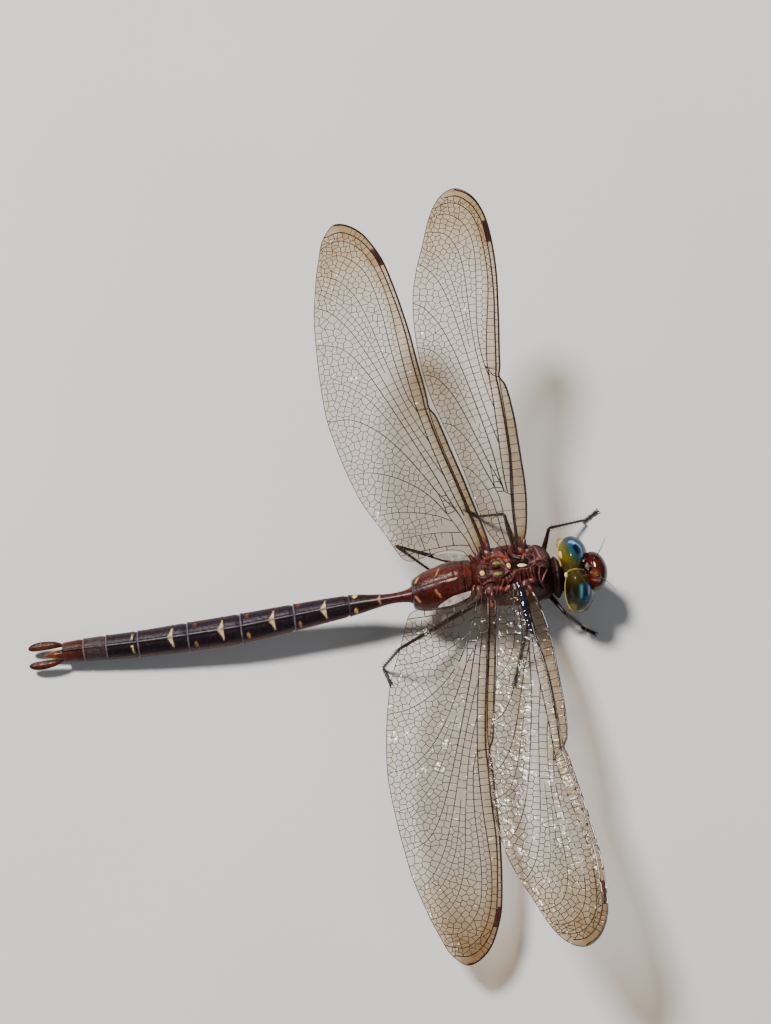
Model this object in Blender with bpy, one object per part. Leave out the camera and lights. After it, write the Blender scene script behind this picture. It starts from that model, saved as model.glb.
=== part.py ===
"""Male hawker dragonfly (family Aeshnidae), life size, standing on its six feet.

The wings are spread, the left pair raised more than the right pair, and the long
waisted abdomen slopes down to the tail. The head looks along +X, the left wings
reach along +Y and the feet stand on Z = 0. The origin is on the floor under the
middle of the whole insect's box. Every name below is in millimetres.
"""

import math

import bmesh
import bpy
import numpy as np
from mathutils import Matrix, Vector

MM = 0.001          # one millimetre in Blender's metres
GAP = 0.08          # clearance between neighbouring pieces
PLATE = 0.5         # least thickness of wings, legs and feelers

# The body is laid out from the middle of the thorax. This point of that layout is the
# origin of the finished model.
ORIGIN = Vector((-21.405, -1.252, 0.0))

# Head
HEAD_MIDDLE = Vector((8.95, -0.9, 6.6))
HEAD_TURN = math.radians(1.0)       # the head looks a little to its left
EYE_OFFSET = Vector((0.38, 2.1, 0.35))
EYE_RADII = Vector((1.75, 2.42, 3.15))
EYE_LEAN = math.radians(25.0)
FACE_LUMPS = {
    # name: centre from HEAD_MIDDLE, radii
    "frons": (Vector((2.3, -0.12, 0.75)), Vector((1.8, 2.38, 1.7))),
    "clypeus": (Vector((2.05, 0.0, -0.95)), Vector((1.75, 2.3, 1.3))),
    "labrum": (Vector((1.6, 0.0, -2.15)), Vector((1.5, 1.9, 0.95))),
    "vertex": (Vector((1.8, 0.05, 2.6)), Vector((0.62, 0.75, 0.62))),
}
CAPSULE_CENTRE = Vector((0.05, 0.0, -0.6))
CAPSULE_RADII = Vector((1.6, 3.6, 2.7))
ANTENNA_ROOT = Vector((2.55, 1.0, 2.15))
ANTENNA_TIP = Vector((4.2, 3.3, 3.2))

# Thorax
PROTHORAX_CENTRE = Vector((7.05, -0.8, 5.6))
PROTHORAX_RADII = Vector((1.0, 2.45, 2.4))
THORAX_MIDDLE_Z = 6.2
THORAX_SHEAR = -0.32        # the back leans to the rear, the belly to the front
THORAX_SQUARENESS = 2.5     # exponent of the rounded-box cross-section
THORAX_STATIONS = (
    # x at mid height, centre above THORAX_MIDDLE_Z, half width, half height
    (6.75, 0.7, 1.3, 1.4),
    (6.45, 0.5, 2.3, 2.5),
    (5.9, 0.25, 2.95, 3.4),
    (5.1, 0.1, 3.3, 3.95),
    (3.2, 0.0, 3.5, 4.25),
    (0.8, 0.0, 3.5, 4.3),
    (-0.9, 0.1, 3.2, 3.95),
    (-2.0, 0.35, 2.6, 3.1),
    (-2.5, 0.55, 2.0, 2.1),
)

# Abdomen: where each segment starts, then the end of the last one
SEGMENT_STARTS = (-2.75, -4.3, -10.5, -18.2, -24.9, -31.4, -37.9, -44.0, -47.9, -50.7, -53.2)
ABDOMEN_PROFILE = (
    # x, sideways drift of the centre, height of the centre, half width, half height
    (-2.6, 0.0, 7.1, 1.9, 2.0),
    (-3.4, -0.05, 7.0, 2.45, 2.45),
    (-4.8, -0.2, 6.9, 2.75, 2.65),
    (-7.4, -0.5, 6.65, 2.5, 2.5),
    (-9.4, -0.75, 6.4, 1.95, 2.05),
    (-10.5, -0.85, 6.3, 1.4, 1.5),
    (-12.0, -0.88, 6.15, 0.85, 0.9),
    (-15.0, -0.95, 5.8, 1.02, 1.0),
    (-18.2, -1.02, 5.45, 1.3, 1.2),
    (-25.0, -1.4, 4.65, 1.62, 1.45),
    (-31.5, -1.75, 3.9, 1.8, 1.6),
    (-38.0, -1.8, 3.15, 1.76, 1.6),
    (-44.0, -1.75, 2.55, 1.6, 1.5),
    (-48.0, -1.6, 2.15, 1.5, 1.4),
    (-50.7, -1.5, 1.95, 1.38, 1.3),
    (-53.2, -1.45, 1.8, 1.2, 1.1),
)
CARINA = 0.07               # share by which the back's keel stands proud
CERCUS_STATIONS = (
    # x, outward from the tail's middle, height, half width, half height
    (-53.1, 0.95, 2.05, 0.25, 0.27),
    (-54.2, 1.1, 1.9, 0.42, 0.27),
    (-55.6, 1.15, 1.7, 0.46, 0.26),
    (-56.6, 1.1, 1.52, 0.36, 0.26),
    (-57.35, 1.02, 1.4, 0.14, 0.25),
)
EPIPROCT_STATIONS = (
    (-53.1, 0.0, 1.35, 0.62, 0.3),
    (-54.3, 0.0, 1.3, 0.45, 0.28),
    (-55.55, 0.0, 1.2, 0.2, 0.25),
)
TAIL_MIDDLE_Y = -1.5
TAIL_CLEARANCE = 0.15

# Wings: an outline in shares of the wing's length, out along it and back across it
FORE_LENGTH = 41.9
HIND_LENGTH = 41.8
FORE_OUTLINE = (
    (0.0, -0.005), (0.031, -0.018), (0.074, -0.0285), (0.125, -0.0375), (0.18, -0.0425),
    (0.235, -0.0445), (0.34, -0.0485), (0.42, -0.0455), (0.453, -0.040), (0.473, -0.0295),
    (0.5, -0.037), (0.585, -0.0515), (0.685, -0.068), (0.78, -0.080), (0.84, -0.082),
    (0.89, -0.0795), (0.925, -0.073), (0.96, -0.059), (0.986, -0.037), (1.0, -0.008),
    (0.992, 0.025), (0.966, 0.055), (0.925, 0.081), (0.864, 0.109), (0.785, 0.145),
    (0.73, 0.162), (0.65, 0.174), (0.57, 0.177), (0.5, 0.174), (0.44, 0.165),
    (0.37, 0.149), (0.32, 0.136), (0.25, 0.1225), (0.18, 0.111), (0.12, 0.1015),
    (0.06, 0.091), (0.02, 0.074), (0.0, 0.061),
)
HIND_OUTLINE = (
    (0.0, -0.034), (0.05, -0.0375), (0.12, -0.0385), (0.2, -0.040), (0.28, -0.0395),
    (0.35, -0.040), (0.395, -0.0385), (0.42, -0.0305), (0.45, -0.036), (0.525, -0.047),
    (0.635, -0.063), (0.74, -0.072), (0.8, -0.0745), (0.85, -0.074), (0.885, -0.0685),
    (0.915, -0.061), (0.945, -0.050), (0.97, -0.033), (0.99, -0.010), (0.998, 0.015),
    (0.986, 0.040), (0.963, 0.067), (0.93, 0.088), (0.85, 0.134), (0.76, 0.176),
    (0.70, 0.196), (0.6, 0.226), (0.55, 0.239), (0.5, 0.249), (0.44, 0.2545),
    (0.37, 0.257), (0.3, 0.255), (0.254, 0.2515), (0.218, 0.2445), (0.155, 0.2285),
    (0.118, 0.221), (0.08, 0.2135), (0.054, 0.204), (0.041, 0.182), (0.038, 0.13),
    (0.030, 0.08), (0.013, 0.047), (0.0, 0.038),
)
WINGS = {
    # name: outline, length, root, sweep to the rear and lift above level in degrees, side
    "wing_fore_left": (FORE_OUTLINE, FORE_LENGTH, Vector((3.15, 2.95, 10.0)), 5.7, 24.2, 1),
    "wing_fore_right": (FORE_OUTLINE, FORE_LENGTH, Vector((3.1, -2.75, 9.9)), 2.3, 15.3, -1),
    "wing_hind_left": (HIND_OUTLINE, HIND_LENGTH, Vector((-2.1, 2.95, 9.8)), 16.8, 15.6, 1),
    "wing_hind_right": (HIND_OUTLINE, HIND_LENGTH, Vector((-2.35, -2.95, 9.5)), 9.8, -4.2, -1),
}

# Legs: coxa, knee, ankle and toe of each, and the thighs' radius
LEGS = {
    "leg_fore_left": ((5.6, 1.3, 3.4), (7.28, 5.5, 5.0), (12.3, 6.9, 0.95), (14.55, 8.2), 0.43),
    "leg_fore_right": ((5.6, -1.3, 3.4), (7.6, -5.0, 4.2), (9.9, -6.3, 0.95), (11.7, -7.5), 0.43),
    "leg_mid_left": ((3.6, 1.5, 2.8), (2.1, 8.0, 4.9), (-0.5, 9.1, 0.95), (-2.3, 10.6), 0.4),
    "leg_mid_right": ((3.6, -1.5, 2.8), (2.75, -6.4, 5.4), (1.5, -10.1, 0.95), (0.5, -12.5), 0.4),
    "leg_hind_left": ((-0.6, 1.4, 3.2), (-11.6, 5.35, 6.5), (-6.9, 2.4, 0.95), (-4.2, 1.3), 0.38),
    "leg_hind_right": ((-0.6, -1.4, 3.2), (-12.8, -7.15, 6.6), (-14.9, -8.2, 0.95), (-14.2, -10.4), 0.38),
}
COXA_RADIUS = 0.62
TIBIA_RADIUS = 0.27
TARSUS_RADIUS = 0.28
TARSUS_AXIS_Z = 0.22        # less than the radius, so that the sole is cut flat

# Colours: base colour, roughness, metallic
FINISHES = {
    "shell_red": ((0.16, 0.035, 0.018, 1.0), 0.35, 0.0),
    "shell_dark": ((0.018, 0.010, 0.009, 1.0), 0.22, 0.0),
    "shell_tail": ((0.28, 0.09, 0.03, 1.0), 0.3, 0.0),
    "face": ((0.35, 0.07, 0.02, 1.0), 0.2, 0.0),
    "eye": ((0.16, 0.17, 0.02, 1.0), 0.08, 0.0),
    "leg": ((0.02, 0.010, 0.009, 1.0), 0.3, 0.0),
    "wing": ((0.35, 0.22, 0.10, 1.0), 0.25, 0.0),
}


def finish(name):
    """The Principled material of one finish, made once."""
    material = bpy.data.materials.get(name)
    if material is None:
        colour, roughness, metallic = FINISHES[name]
        material = bpy.data.materials.new(name)
        material.use_nodes = True
        shader = material.node_tree.nodes["Principled BSDF"]
        shader.inputs["Base Color"].default_value = colour
        shader.inputs["Roughness"].default_value = roughness
        shader.inputs["Metallic"].default_value = metallic
    return material


def add_object(name, mesh, collection, material):
    """Put a mesh given in body millimetres into the scene, about the origin."""
    mesh.transform(Matrix.Scale(MM, 4) @ Matrix.Translation(-ORIGIN))
    mesh.materials.clear()
    mesh.materials.append(finish(material))
    obj = bpy.data.objects.new(name, mesh)
    collection.objects.link(obj)
    mesh.shade_smooth()
    mesh.set_sharp_from_angle(angle=math.radians(35.0))
    return obj


def hide_cutter(obj):
    obj.hide_render = True
    obj.display_type = "WIRE"
    return obj


def cut_away(obj, cutter):
    """Take the cutter's space out of the object."""
    modifier = obj.modifiers.new("clear of " + cutter.name, "BOOLEAN")
    modifier.operation = "DIFFERENCE"
    modifier.solver = "EXACT"
    modifier.object = cutter


def mesh_from(bm, name):
    mesh = bpy.data.meshes.new(name)
    bmesh.ops.recalc_face_normals(bm, faces=bm.faces)
    bm.to_mesh(mesh)
    bm.free()
    return mesh


def ellipsoid(name, centre, radii, lean=0.0, segments=20, rings=12):
    """A sphere primitive stretched to three radii, leaned about X and moved to its place."""
    bm = bmesh.new()
    bmesh.ops.create_uvsphere(bm, u_segments=segments, v_segments=rings, radius=1.0)
    place = Matrix.Translation(centre) @ Matrix.Rotation(lean, 4, "X")
    bmesh.ops.transform(bm, matrix=place @ Matrix.Diagonal((*radii, 1.0)), verts=bm.verts)
    return mesh_from(bm, name)


def sleeve(name, stations, sides=16, squareness=2.0, shear=0.0, keel=0.0):
    """A disc extruded from station to station along X and shaped to each cross-section.

    A station is x, y, z, half width and half height. The section is a circle when
    squareness is 2 and boxier above that; shear slants it and keel lifts its top.
    """
    bm = bmesh.new()
    disc = bmesh.ops.create_circle(bm, cap_ends=True, segments=sides, radius=1.0)
    ring = disc["verts"]
    rings = [list(ring)]
    face = bm.faces[:][0]
    for _ in stations[1:]:
        face = bmesh.ops.extrude_discrete_faces(bm, faces=[face])["faces"][0]
        rings.append(face.verts[:])
    bm.faces.new(rings[0])
    for (x, y, z, wide, high), verts in zip(stations, rings):
        for vert in verts:
            angle = math.atan2(vert.co.x, vert.co.y)
            side, up = math.sin(angle), math.cos(angle)
            side = math.copysign(abs(side) ** (2.0 / squareness), side)
            up = math.copysign(abs(up) ** (2.0 / squareness), up)
            rise = high * up * (1.0 + keel * max(0.0, math.cos(angle)) ** 24)
            vert.co = (x + shear * rise, y + wide * side, z + rise)
    return mesh_from(bm, name)


def rod(name, points, radii):
    """A round rod along a few points, as a bevelled curve with its caps welded."""
    curve = bpy.data.curves.new(name, "CURVE")
    curve.dimensions = "3D"
    curve.bevel_depth = 1.0
    curve.bevel_resolution = 2
    curve.use_fill_caps = True
    spline = curve.splines.new("POLY")
    spline.points.add(len(points) - 1)
    for spline_point, point, radius in zip(spline.points, points, radii):
        spline_point.co = (*point, 1.0)
        spline_point.radius = radius
    holder = bpy.data.objects.new(name, curve)
    bpy.context.scene.collection.objects.link(holder)
    evaluated = holder.evaluated_get(bpy.context.evaluated_depsgraph_get())
    mesh = bpy.data.meshes.new_from_object(evaluated)
    bpy.data.objects.remove(holder)
    bm = bmesh.new()
    bm.from_mesh(mesh)
    bpy.data.meshes.remove(mesh)
    bmesh.ops.remove_doubles(bm, verts=bm.verts, dist=0.001)
    return mesh_from(bm, name)


def cut_flat(mesh, normal, height):
    """Take off what lies beyond a plane and close the cut."""
    bm = bmesh.new()
    bm.from_mesh(mesh)
    cut = bmesh.ops.bisect_plane(
        bm, geom=bm.verts[:] + bm.edges[:] + bm.faces[:], dist=1e-5,
        plane_co=Vector(normal) * height, plane_no=normal, clear_outer=True)
    edges = [item for item in cut["geom_cut"] if isinstance(item, bmesh.types.BMEdge)]
    bmesh.ops.contextual_create(bm, geom=edges)
    bmesh.ops.recalc_face_normals(bm, faces=bm.faces)
    bm.to_mesh(mesh)
    bm.free()


def flat_plate(name, outline, thickness):
    """A closed outline with a smooth edge, filled and given a thickness."""
    curve = bpy.data.curves.new(name, "CURVE")
    curve.dimensions = "2D"
    curve.fill_mode = "BOTH"
    curve.extrude = thickness / 2.0
    curve.resolution_u = 3
    spline = curve.splines.new("BEZIER")
    spline.bezier_points.add(len(outline) - 1)
    for bezier_point, (out, back) in zip(spline.bezier_points, outline):
        bezier_point.co = (out, back, 0.0)
        bezier_point.handle_left_type = "AUTO"
        bezier_point.handle_right_type = "AUTO"
    spline.use_cyclic_u = True
    holder = bpy.data.objects.new(name, curve)
    bpy.context.scene.collection.objects.link(holder)
    evaluated = holder.evaluated_get(bpy.context.evaluated_depsgraph_get())
    mesh = bpy.data.meshes.new_from_object(evaluated)
    bpy.data.objects.remove(holder)
    bm = bmesh.new()
    bm.from_mesh(mesh)
    bpy.data.meshes.remove(mesh)
    bmesh.ops.remove_doubles(bm, verts=bm.verts, dist=0.001)
    return mesh_from(bm, name)


def mirrored(vector, side):
    return Vector((vector.x, side * vector.y, vector.z))


def eye_mesh(name, side, grow=0.0):
    """One compound eye, leaning in to meet its neighbour along a flat seam."""
    radii = EYE_RADII + Vector((grow, grow, grow))
    mesh = ellipsoid(
        name, mirrored(EYE_OFFSET, side), radii, lean=side * EYE_LEAN, segments=24, rings=14)
    cut_flat(mesh, (0.0, -side, 0.0), grow - GAP / 2.0)
    return mesh


def add_head_piece(mesh, collection, material):
    """Turn a piece modelled about the head's middle and put it on the neck."""
    mesh.transform(Matrix.Translation(HEAD_MIDDLE) @ Matrix.Rotation(HEAD_TURN, 4, "Z"))
    return add_object(mesh.name, mesh, collection, material)


def build_head(parts, cutters):
    """Eyes, the capsule between and behind them, the lumps of the face and the feelers."""
    cleared = []
    for side_name, side in (("left", 1), ("right", -1)):
        add_head_piece(eye_mesh("eye_" + side_name, side), parts, "eye")
        space = eye_mesh("space_of_eye_" + side_name, side, GAP)
        cleared.append(hide_cutter(add_head_piece(space, cutters, "eye")))

    pieces = {"head_capsule": (CAPSULE_CENTRE, CAPSULE_RADII, "shell_red")}
    for name, (centre, radii) in FACE_LUMPS.items():
        pieces[name] = (centre, radii, "face")
    grow = Vector((GAP, GAP, GAP))
    for name, (centre, radii, material) in pieces.items():
        piece = add_head_piece(ellipsoid(name, centre, radii), parts, material)
        for cutter in cleared:
            cut_away(piece, cutter)
        space = ellipsoid("space_of_" + name, centre, radii + grow)
        cleared.append(hide_cutter(add_head_piece(space, cutters, material)))

    half = PLATE / 2.0
    for side_name, side in (("left", 1), ("right", -1)):
        root = mirrored(ANTENNA_ROOT, side)
        tip = mirrored(ANTENNA_TIP, side)
        points = (root, root.lerp(tip, 0.25), tip)
        mesh = rod("antenna_" + side_name, points, (half * 1.3, half * 1.15, half))
        antenna = add_head_piece(mesh, parts, "leg")
        for cutter in cleared:
            cut_away(antenna, cutter)
    return cleared


def thorax_mesh(name, grow=0.0):
    stations = [
        (x + math.copysign(grow, x), 0.0, THORAX_MIDDLE_Z + lift, wide + grow, high + grow)
        for x, lift, wide, high in THORAX_STATIONS
    ]
    return sleeve(name, stations, sides=20, squareness=THORAX_SQUARENESS, shear=THORAX_SHEAR)


def build_thorax(parts, cutters, head_spaces):
    """The wing-bearing trunk and the small ring that carries the head."""
    add_object("pterothorax", thorax_mesh("pterothorax"), parts, "shell_red")
    space = thorax_mesh("space_of_pterothorax", GAP)
    thorax_space = hide_cutter(add_object(space.name, space, cutters, "shell_red"))

    mesh = ellipsoid("prothorax", PROTHORAX_CENTRE, PROTHORAX_RADII)
    prothorax = add_object("prothorax", mesh, parts, "shell_red")
    for cutter in head_spaces + [thorax_space]:
        cut_away(prothorax, cutter)
    grown = PROTHORAX_RADII + Vector((GAP, GAP, GAP))
    space = ellipsoid("space_of_prothorax", PROTHORAX_CENTRE, grown)
    prothorax_space = hide_cutter(add_object(space.name, space, cutters, "shell_red"))
    return [thorax_space, prothorax_space]


def abdomen_station(x):
    """Centre and half sizes of the abdomen at x, between the profile's rows."""
    rows = np.array(ABDOMEN_PROFILE)[::-1]
    return (x, *(float(np.interp(x, rows[:, 0], rows[:, column])) for column in range(1, 5)))


def build_abdomen(parts, thorax_space):
    """Ten segments, each flared a little at its hind rim, with a keel along the back."""
    for index in range(10):
        front = SEGMENT_STARTS[index] - GAP / 2.0
        back = SEGMENT_STARTS[index + 1] + GAP / 2.0
        length = front - back
        inner = [x for x, *_ in ABDOMEN_PROFILE if back + 0.35 < x < front - 0.35]
        spots = sorted({front, front - 0.12 * length, back + 0.3, back, *inner}, reverse=True)
        stations = []
        for x in spots:
            x, y, z, wide, high = abdomen_station(x)
            flare = 1.03 if x == back + 0.3 else (0.95 if x in (front, back) else 1.0)
            stations.append((x, y, z, wide * flare, high * flare))
        name = f"abdomen_{index + 1:02d}"
        material = "shell_red" if index < 2 else ("shell_tail" if index == 9 else "shell_dark")
        mesh = sleeve(name, stations, sides=16, keel=CARINA)
        segment = add_object(name, mesh, parts, material)
        if index == 0:
            cut_away(segment, thorax_space)


def build_tail(parts):
    """Two leaf-shaped upper claspers and the pointed lower one between them."""
    for side_name, side in (("left", 1), ("right", -1)):
        name = "cercus_" + side_name
        stations = [
            (x - TAIL_CLEARANCE, TAIL_MIDDLE_Y + side * out, z, wide, high)
            for x, out, z, wide, high in CERCUS_STATIONS
        ]
        add_object(name, sleeve(name, stations, sides=10), parts, "shell_tail")
    stations = [
        (x - TAIL_CLEARANCE, TAIL_MIDDLE_Y + out, z, wide, high)
        for x, out, z, wide, high in EPIPROCT_STATIONS
    ]
    add_object("epiproct", sleeve("epiproct", stations, sides=10), parts, "shell_tail")


def build_wings(parts):
    """Four plates, each swept and lifted about its own root."""
    for name, (outline, length, root, sweep, lift, side) in WINGS.items():
        scaled = [(length * out, length * back) for out, back in outline]
        mesh = flat_plate(name, scaled, PLATE)
        sweep, lift = math.radians(sweep), math.radians(lift)
        along = Vector((
            -math.sin(sweep) * math.cos(lift),
            side * math.cos(sweep) * math.cos(lift),
            math.sin(lift)))
        across = Vector((-1.0, 0.0, 0.0))
        across = (across - along * across.dot(along)).normalized()
        normal = along.cross(across)
        place = Matrix((along, across, normal)).transposed().to_4x4()
        mesh.transform(Matrix.Translation(root) @ place)
        add_object(name, mesh, parts, "wing")


def build_legs(parts, cutters, body_spaces):
    """Thigh with its coxa, shin, and a foot with a flat sole, for each of six legs."""
    for name, (coxa, knee, ankle, toe, radius) in LEGS.items():
        coxa, knee, ankle = Vector(coxa), Vector(knee), Vector(ankle)
        thigh_points = (
            coxa, coxa.lerp(knee, 0.12), coxa.lerp(knee, 0.25),
            coxa.lerp(knee, 0.55), coxa.lerp(knee, 0.93), knee)
        thigh_radii = (
            COXA_RADIUS, COXA_RADIUS, radius * 1.1, radius, radius * 0.85, radius * 0.7)
        heel = Vector((ankle.x, ankle.y, TARSUS_AXIS_Z))
        toe = Vector((*toe, TARSUS_AXIS_Z))
        away = (toe - heel).normalized()
        shin_points = (knee, knee.lerp(ankle, 0.5), ankle)
        shin_radii = (TIBIA_RADIUS * 1.15, TIBIA_RADIUS, TIBIA_RADIUS)
        foot_points = (heel - away * 0.15, heel.lerp(toe, 0.5), toe)
        foot_radii = (TARSUS_RADIUS, TARSUS_RADIUS, TARSUS_RADIUS)

        spaces = list(body_spaces)
        limbs = (
            ("_femur", thigh_points, thigh_radii),
            ("_tibia", shin_points, shin_radii),
            ("_tarsus", foot_points, foot_radii),
        )
        for suffix, points, radii in limbs:
            mesh = rod(name + suffix, points, radii)
            grown = rod("space_of_" + name + suffix, points, [size + GAP for size in radii])
            if suffix == "_tarsus":
                cut_flat(mesh, (0.0, 0.0, -1.0), 0.0)
            limb = add_object(name + suffix, mesh, parts, "leg")
            for cutter in spaces:
                cut_away(limb, cutter)
            spaces = [hide_cutter(add_object(grown.name, grown, cutters, "leg"))]


def main():
    for obj in list(bpy.data.objects):
        bpy.data.objects.remove(obj)
    parts = bpy.data.collections.new("dragonfly")
    cutters = bpy.data.collections.new("cutters")
    bpy.context.scene.collection.children.link(parts)
    bpy.context.scene.collection.children.link(cutters)

    head_spaces = build_head(parts, cutters)
    body_spaces = build_thorax(parts, cutters, head_spaces)
    build_abdomen(parts, body_spaces[0])
    build_tail(parts)
    build_wings(parts)
    build_legs(parts, cutters, body_spaces)


main()
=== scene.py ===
import math
import random

import bpy
import numpy as np
from mathutils import Matrix, Vector
from mathutils.geometry import delaunay_2d_cdt


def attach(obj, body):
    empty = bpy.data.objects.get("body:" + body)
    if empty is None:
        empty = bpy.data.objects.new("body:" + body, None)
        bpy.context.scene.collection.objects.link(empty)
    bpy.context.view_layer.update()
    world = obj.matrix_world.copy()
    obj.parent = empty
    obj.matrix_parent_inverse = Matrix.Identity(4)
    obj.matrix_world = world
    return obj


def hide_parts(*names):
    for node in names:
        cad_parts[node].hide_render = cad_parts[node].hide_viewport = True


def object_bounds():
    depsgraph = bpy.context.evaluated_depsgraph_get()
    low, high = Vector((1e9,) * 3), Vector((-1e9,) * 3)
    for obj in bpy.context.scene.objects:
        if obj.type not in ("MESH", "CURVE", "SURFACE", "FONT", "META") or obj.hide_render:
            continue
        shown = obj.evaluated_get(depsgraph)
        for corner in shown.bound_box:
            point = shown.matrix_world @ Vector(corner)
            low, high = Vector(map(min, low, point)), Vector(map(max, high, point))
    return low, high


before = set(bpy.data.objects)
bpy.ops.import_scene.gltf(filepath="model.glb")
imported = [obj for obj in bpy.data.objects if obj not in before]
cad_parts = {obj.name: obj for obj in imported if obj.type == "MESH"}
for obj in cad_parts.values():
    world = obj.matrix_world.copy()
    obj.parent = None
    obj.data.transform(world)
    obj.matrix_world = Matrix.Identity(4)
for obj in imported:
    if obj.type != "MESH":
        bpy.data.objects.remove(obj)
cad_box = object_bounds()

# A male hawker dragonfly, life size. Every piece is modelled in millimetres, measured from the
# middle of the thorax: X to the head, Y to the left wings, Z up from the floor. finish_piece()
# then brings it to the frame's metres.
MM = 0.001
ORIGIN = Vector((-21.405, -1.252, 0.0))
TO_METRES = Matrix.Scale(MM, 4) @ Matrix.Translation(-ORIGIN)
WELD = 0.0005               # points nearer than this are one
UP = Vector((0.0, 0.0, 1.0))


# ---------------------------------------------------------------- bench tools

def put_down():
    """Leave edit mode and let go of everything."""
    if bpy.context.mode != "OBJECT":
        bpy.ops.object.mode_set(mode="OBJECT")
    bpy.ops.object.select_all(action="DESELECT")


def link(obj):
    bpy.context.scene.collection.objects.link(obj)
    return obj


def pick(obj):
    put_down()
    obj.select_set(True)
    bpy.context.view_layer.objects.active = obj
    return obj


def edit(obj):
    pick(obj)
    bpy.ops.object.mode_set(mode="EDIT")
    bpy.ops.mesh.select_all(action="SELECT")


def modify(obj, kind, **settings):
    """Add one modifier and apply it."""
    pick(obj)
    modifier = obj.modifiers.new(kind.lower(), kind)
    for key, value in settings.items():
        setattr(modifier, key, value)
    bpy.ops.object.modifier_apply(modifier=modifier.name)
    return obj


def join(pieces, name):
    pick(pieces[0])
    for piece in pieces:
        piece.select_set(True)
    bpy.ops.object.join()
    joined = bpy.context.view_layer.objects.active
    joined.name = name
    return joined


def place(obj, matrix):
    """Move and turn a piece, and keep its object at the origin."""
    pick(obj)
    obj.matrix_world = matrix @ obj.matrix_world
    bpy.ops.object.transform_apply(location=True, rotation=True, scale=True)
    return obj


def tidy_normals(obj):
    """Weld doubled points and turn every face outwards."""
    edit(obj)
    bpy.ops.mesh.remove_doubles(threshold=WELD)
    bpy.ops.mesh.normals_make_consistent(inside=False)
    bpy.ops.object.mode_set(mode="OBJECT")
    return obj


def press(obj, shape):
    """Work the surface point by point, as with a modelling tool."""
    for vertex in obj.data.vertices:
        vertex.co = shape(vertex.co)
    return obj


def paint(obj, colour):
    """Brush the points of a piece with one colour, or with a function of the place."""
    coat = obj.data.color_attributes.new("paint", "FLOAT_COLOR", "POINT")
    for vertex, spot in zip(obj.data.vertices, coat.data):
        spot.color = (*(colour(vertex.co) if callable(colour) else colour), 1.0)
    return obj


def finish_piece(obj, name, material, stands_for=(), smooth=40.0):
    """Bring a piece to metres, hold it inside the CAD box, and hang it on the frame with its finish.

    smooth is the angle in degrees below which neighbouring faces are shaded as one surface.
    """
    place(obj, TO_METRES)
    spots = np.empty(len(obj.data.vertices) * 3, dtype=np.float32)
    obj.data.vertices.foreach_get("co", spots)
    spots = np.clip(spots.reshape(-1, 3), *np.array([list(corner) for corner in cad_box]))
    obj.data.vertices.foreach_set("co", spots.ravel())
    obj.name = name
    obj.data.name = name
    obj.data.materials.clear()
    obj.data.materials.append(material)
    pick(obj)
    bpy.ops.object.shade_smooth_by_angle(angle=math.radians(smooth))
    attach(obj, "root")
    if stands_for:
        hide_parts(*stands_for)
    return obj


def smooth_line(points, step):
    """A smooth line through a few points, in steps of about the given length."""
    knots = [np.array(point, float) for point in points]
    knots = [2 * knots[0] - knots[1], *knots, 2 * knots[-1] - knots[-2]]
    line = []
    for before, start, end, after in zip(knots, knots[1:], knots[2:], knots[3:]):
        count = max(1, round(float(np.linalg.norm(end - start)) / step))
        for t in np.arange(count) / count:
            line.append(0.5 * (
                2 * start + (end - before) * t
                + (2 * before - 5 * start + 4 * end - after) * t ** 2
                + (3 * start - before - 3 * end + after) * t ** 3))
    line.append(knots[-2])
    return np.array(line)


def ease(low, high, value):
    """0 below low, 1 above high, and a soft step between."""
    t = min(1.0, max(0.0, (value - low) / (high - low)))
    return t * t * (3.0 - 2.0 * t)


def bell(away, width):
    """1 at no distance, falling softly to 0 on both sides."""
    return math.exp(-((away / width) ** 2))


def blend(first, second, share):
    return tuple(a + (b - a) * share for a, b in zip(first, second))


def new_mesh(name, points, faces):
    mesh = bpy.data.meshes.new(name)
    mesh.from_pydata(points, [], faces)
    return link(bpy.data.objects.new(name, mesh))


def rods(name, lines, radii, sides):
    """Round rods along lines of points, each point with its own radius, as one mesh."""
    curve = bpy.data.curves.new(name, "CURVE")
    curve.dimensions = "3D"
    curve.bevel_depth = 1.0
    curve.bevel_resolution = max(0, sides // 2 - 2)
    curve.use_fill_caps = True
    for line, line_radii in zip(lines, radii):
        spline = curve.splines.new("POLY")
        spline.points.add(len(line) - 1)
        for knot, point, radius in zip(spline.points, line, line_radii):
            knot.co = (*point, 1.0)
            knot.radius = radius
    pick(link(bpy.data.objects.new(name, curve)))
    bpy.ops.object.convert(target="MESH")
    return bpy.context.view_layer.objects.active


# ---------------------------------------------------------------- finishes

FILM_DUST = 0.035           # share of the film that is not clear
FILM_SHINE = 0.10           # most that the film mirrors, even at a glancing angle


def new_finish(name, **sockets):
    """A Principled finish with the given plain socket values, and its node tree."""
    material = bpy.data.materials.new(name)
    material.use_nodes = True
    shader = material.node_tree.nodes["Principled BSDF"]
    for socket, value in sockets.items():
        shader.inputs[socket.replace("_", " ")].default_value = value
    return material, material.node_tree, shader


def wire(tree, node, *feeds):
    """Lead each source into a socket of the node, given by name or number."""
    for socket, source in feeds:
        tree.links.new(source, node.inputs[socket])


def add_node(tree, kind, *feeds, **settings):
    """A node with its feeds, pairs of socket and source, and its settings and plain values."""
    node = tree.nodes.new("ShaderNode" + kind)
    for key, value in settings.items():
        if key in node.inputs:
            node.inputs[key].default_value = value
        else:
            setattr(node, key, value)
    wire(tree, node, *feeds)
    return node


def body_place(tree, scale=1000.0):
    """Object coordinates, scaled so that one unit is a millimetre when scale is 1000."""
    coordinates = add_node(tree, "TexCoord").outputs["Object"]
    return add_node(tree, "Mapping", ("Vector", coordinates), Scale=(scale,) * 3).outputs["Vector"]


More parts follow.
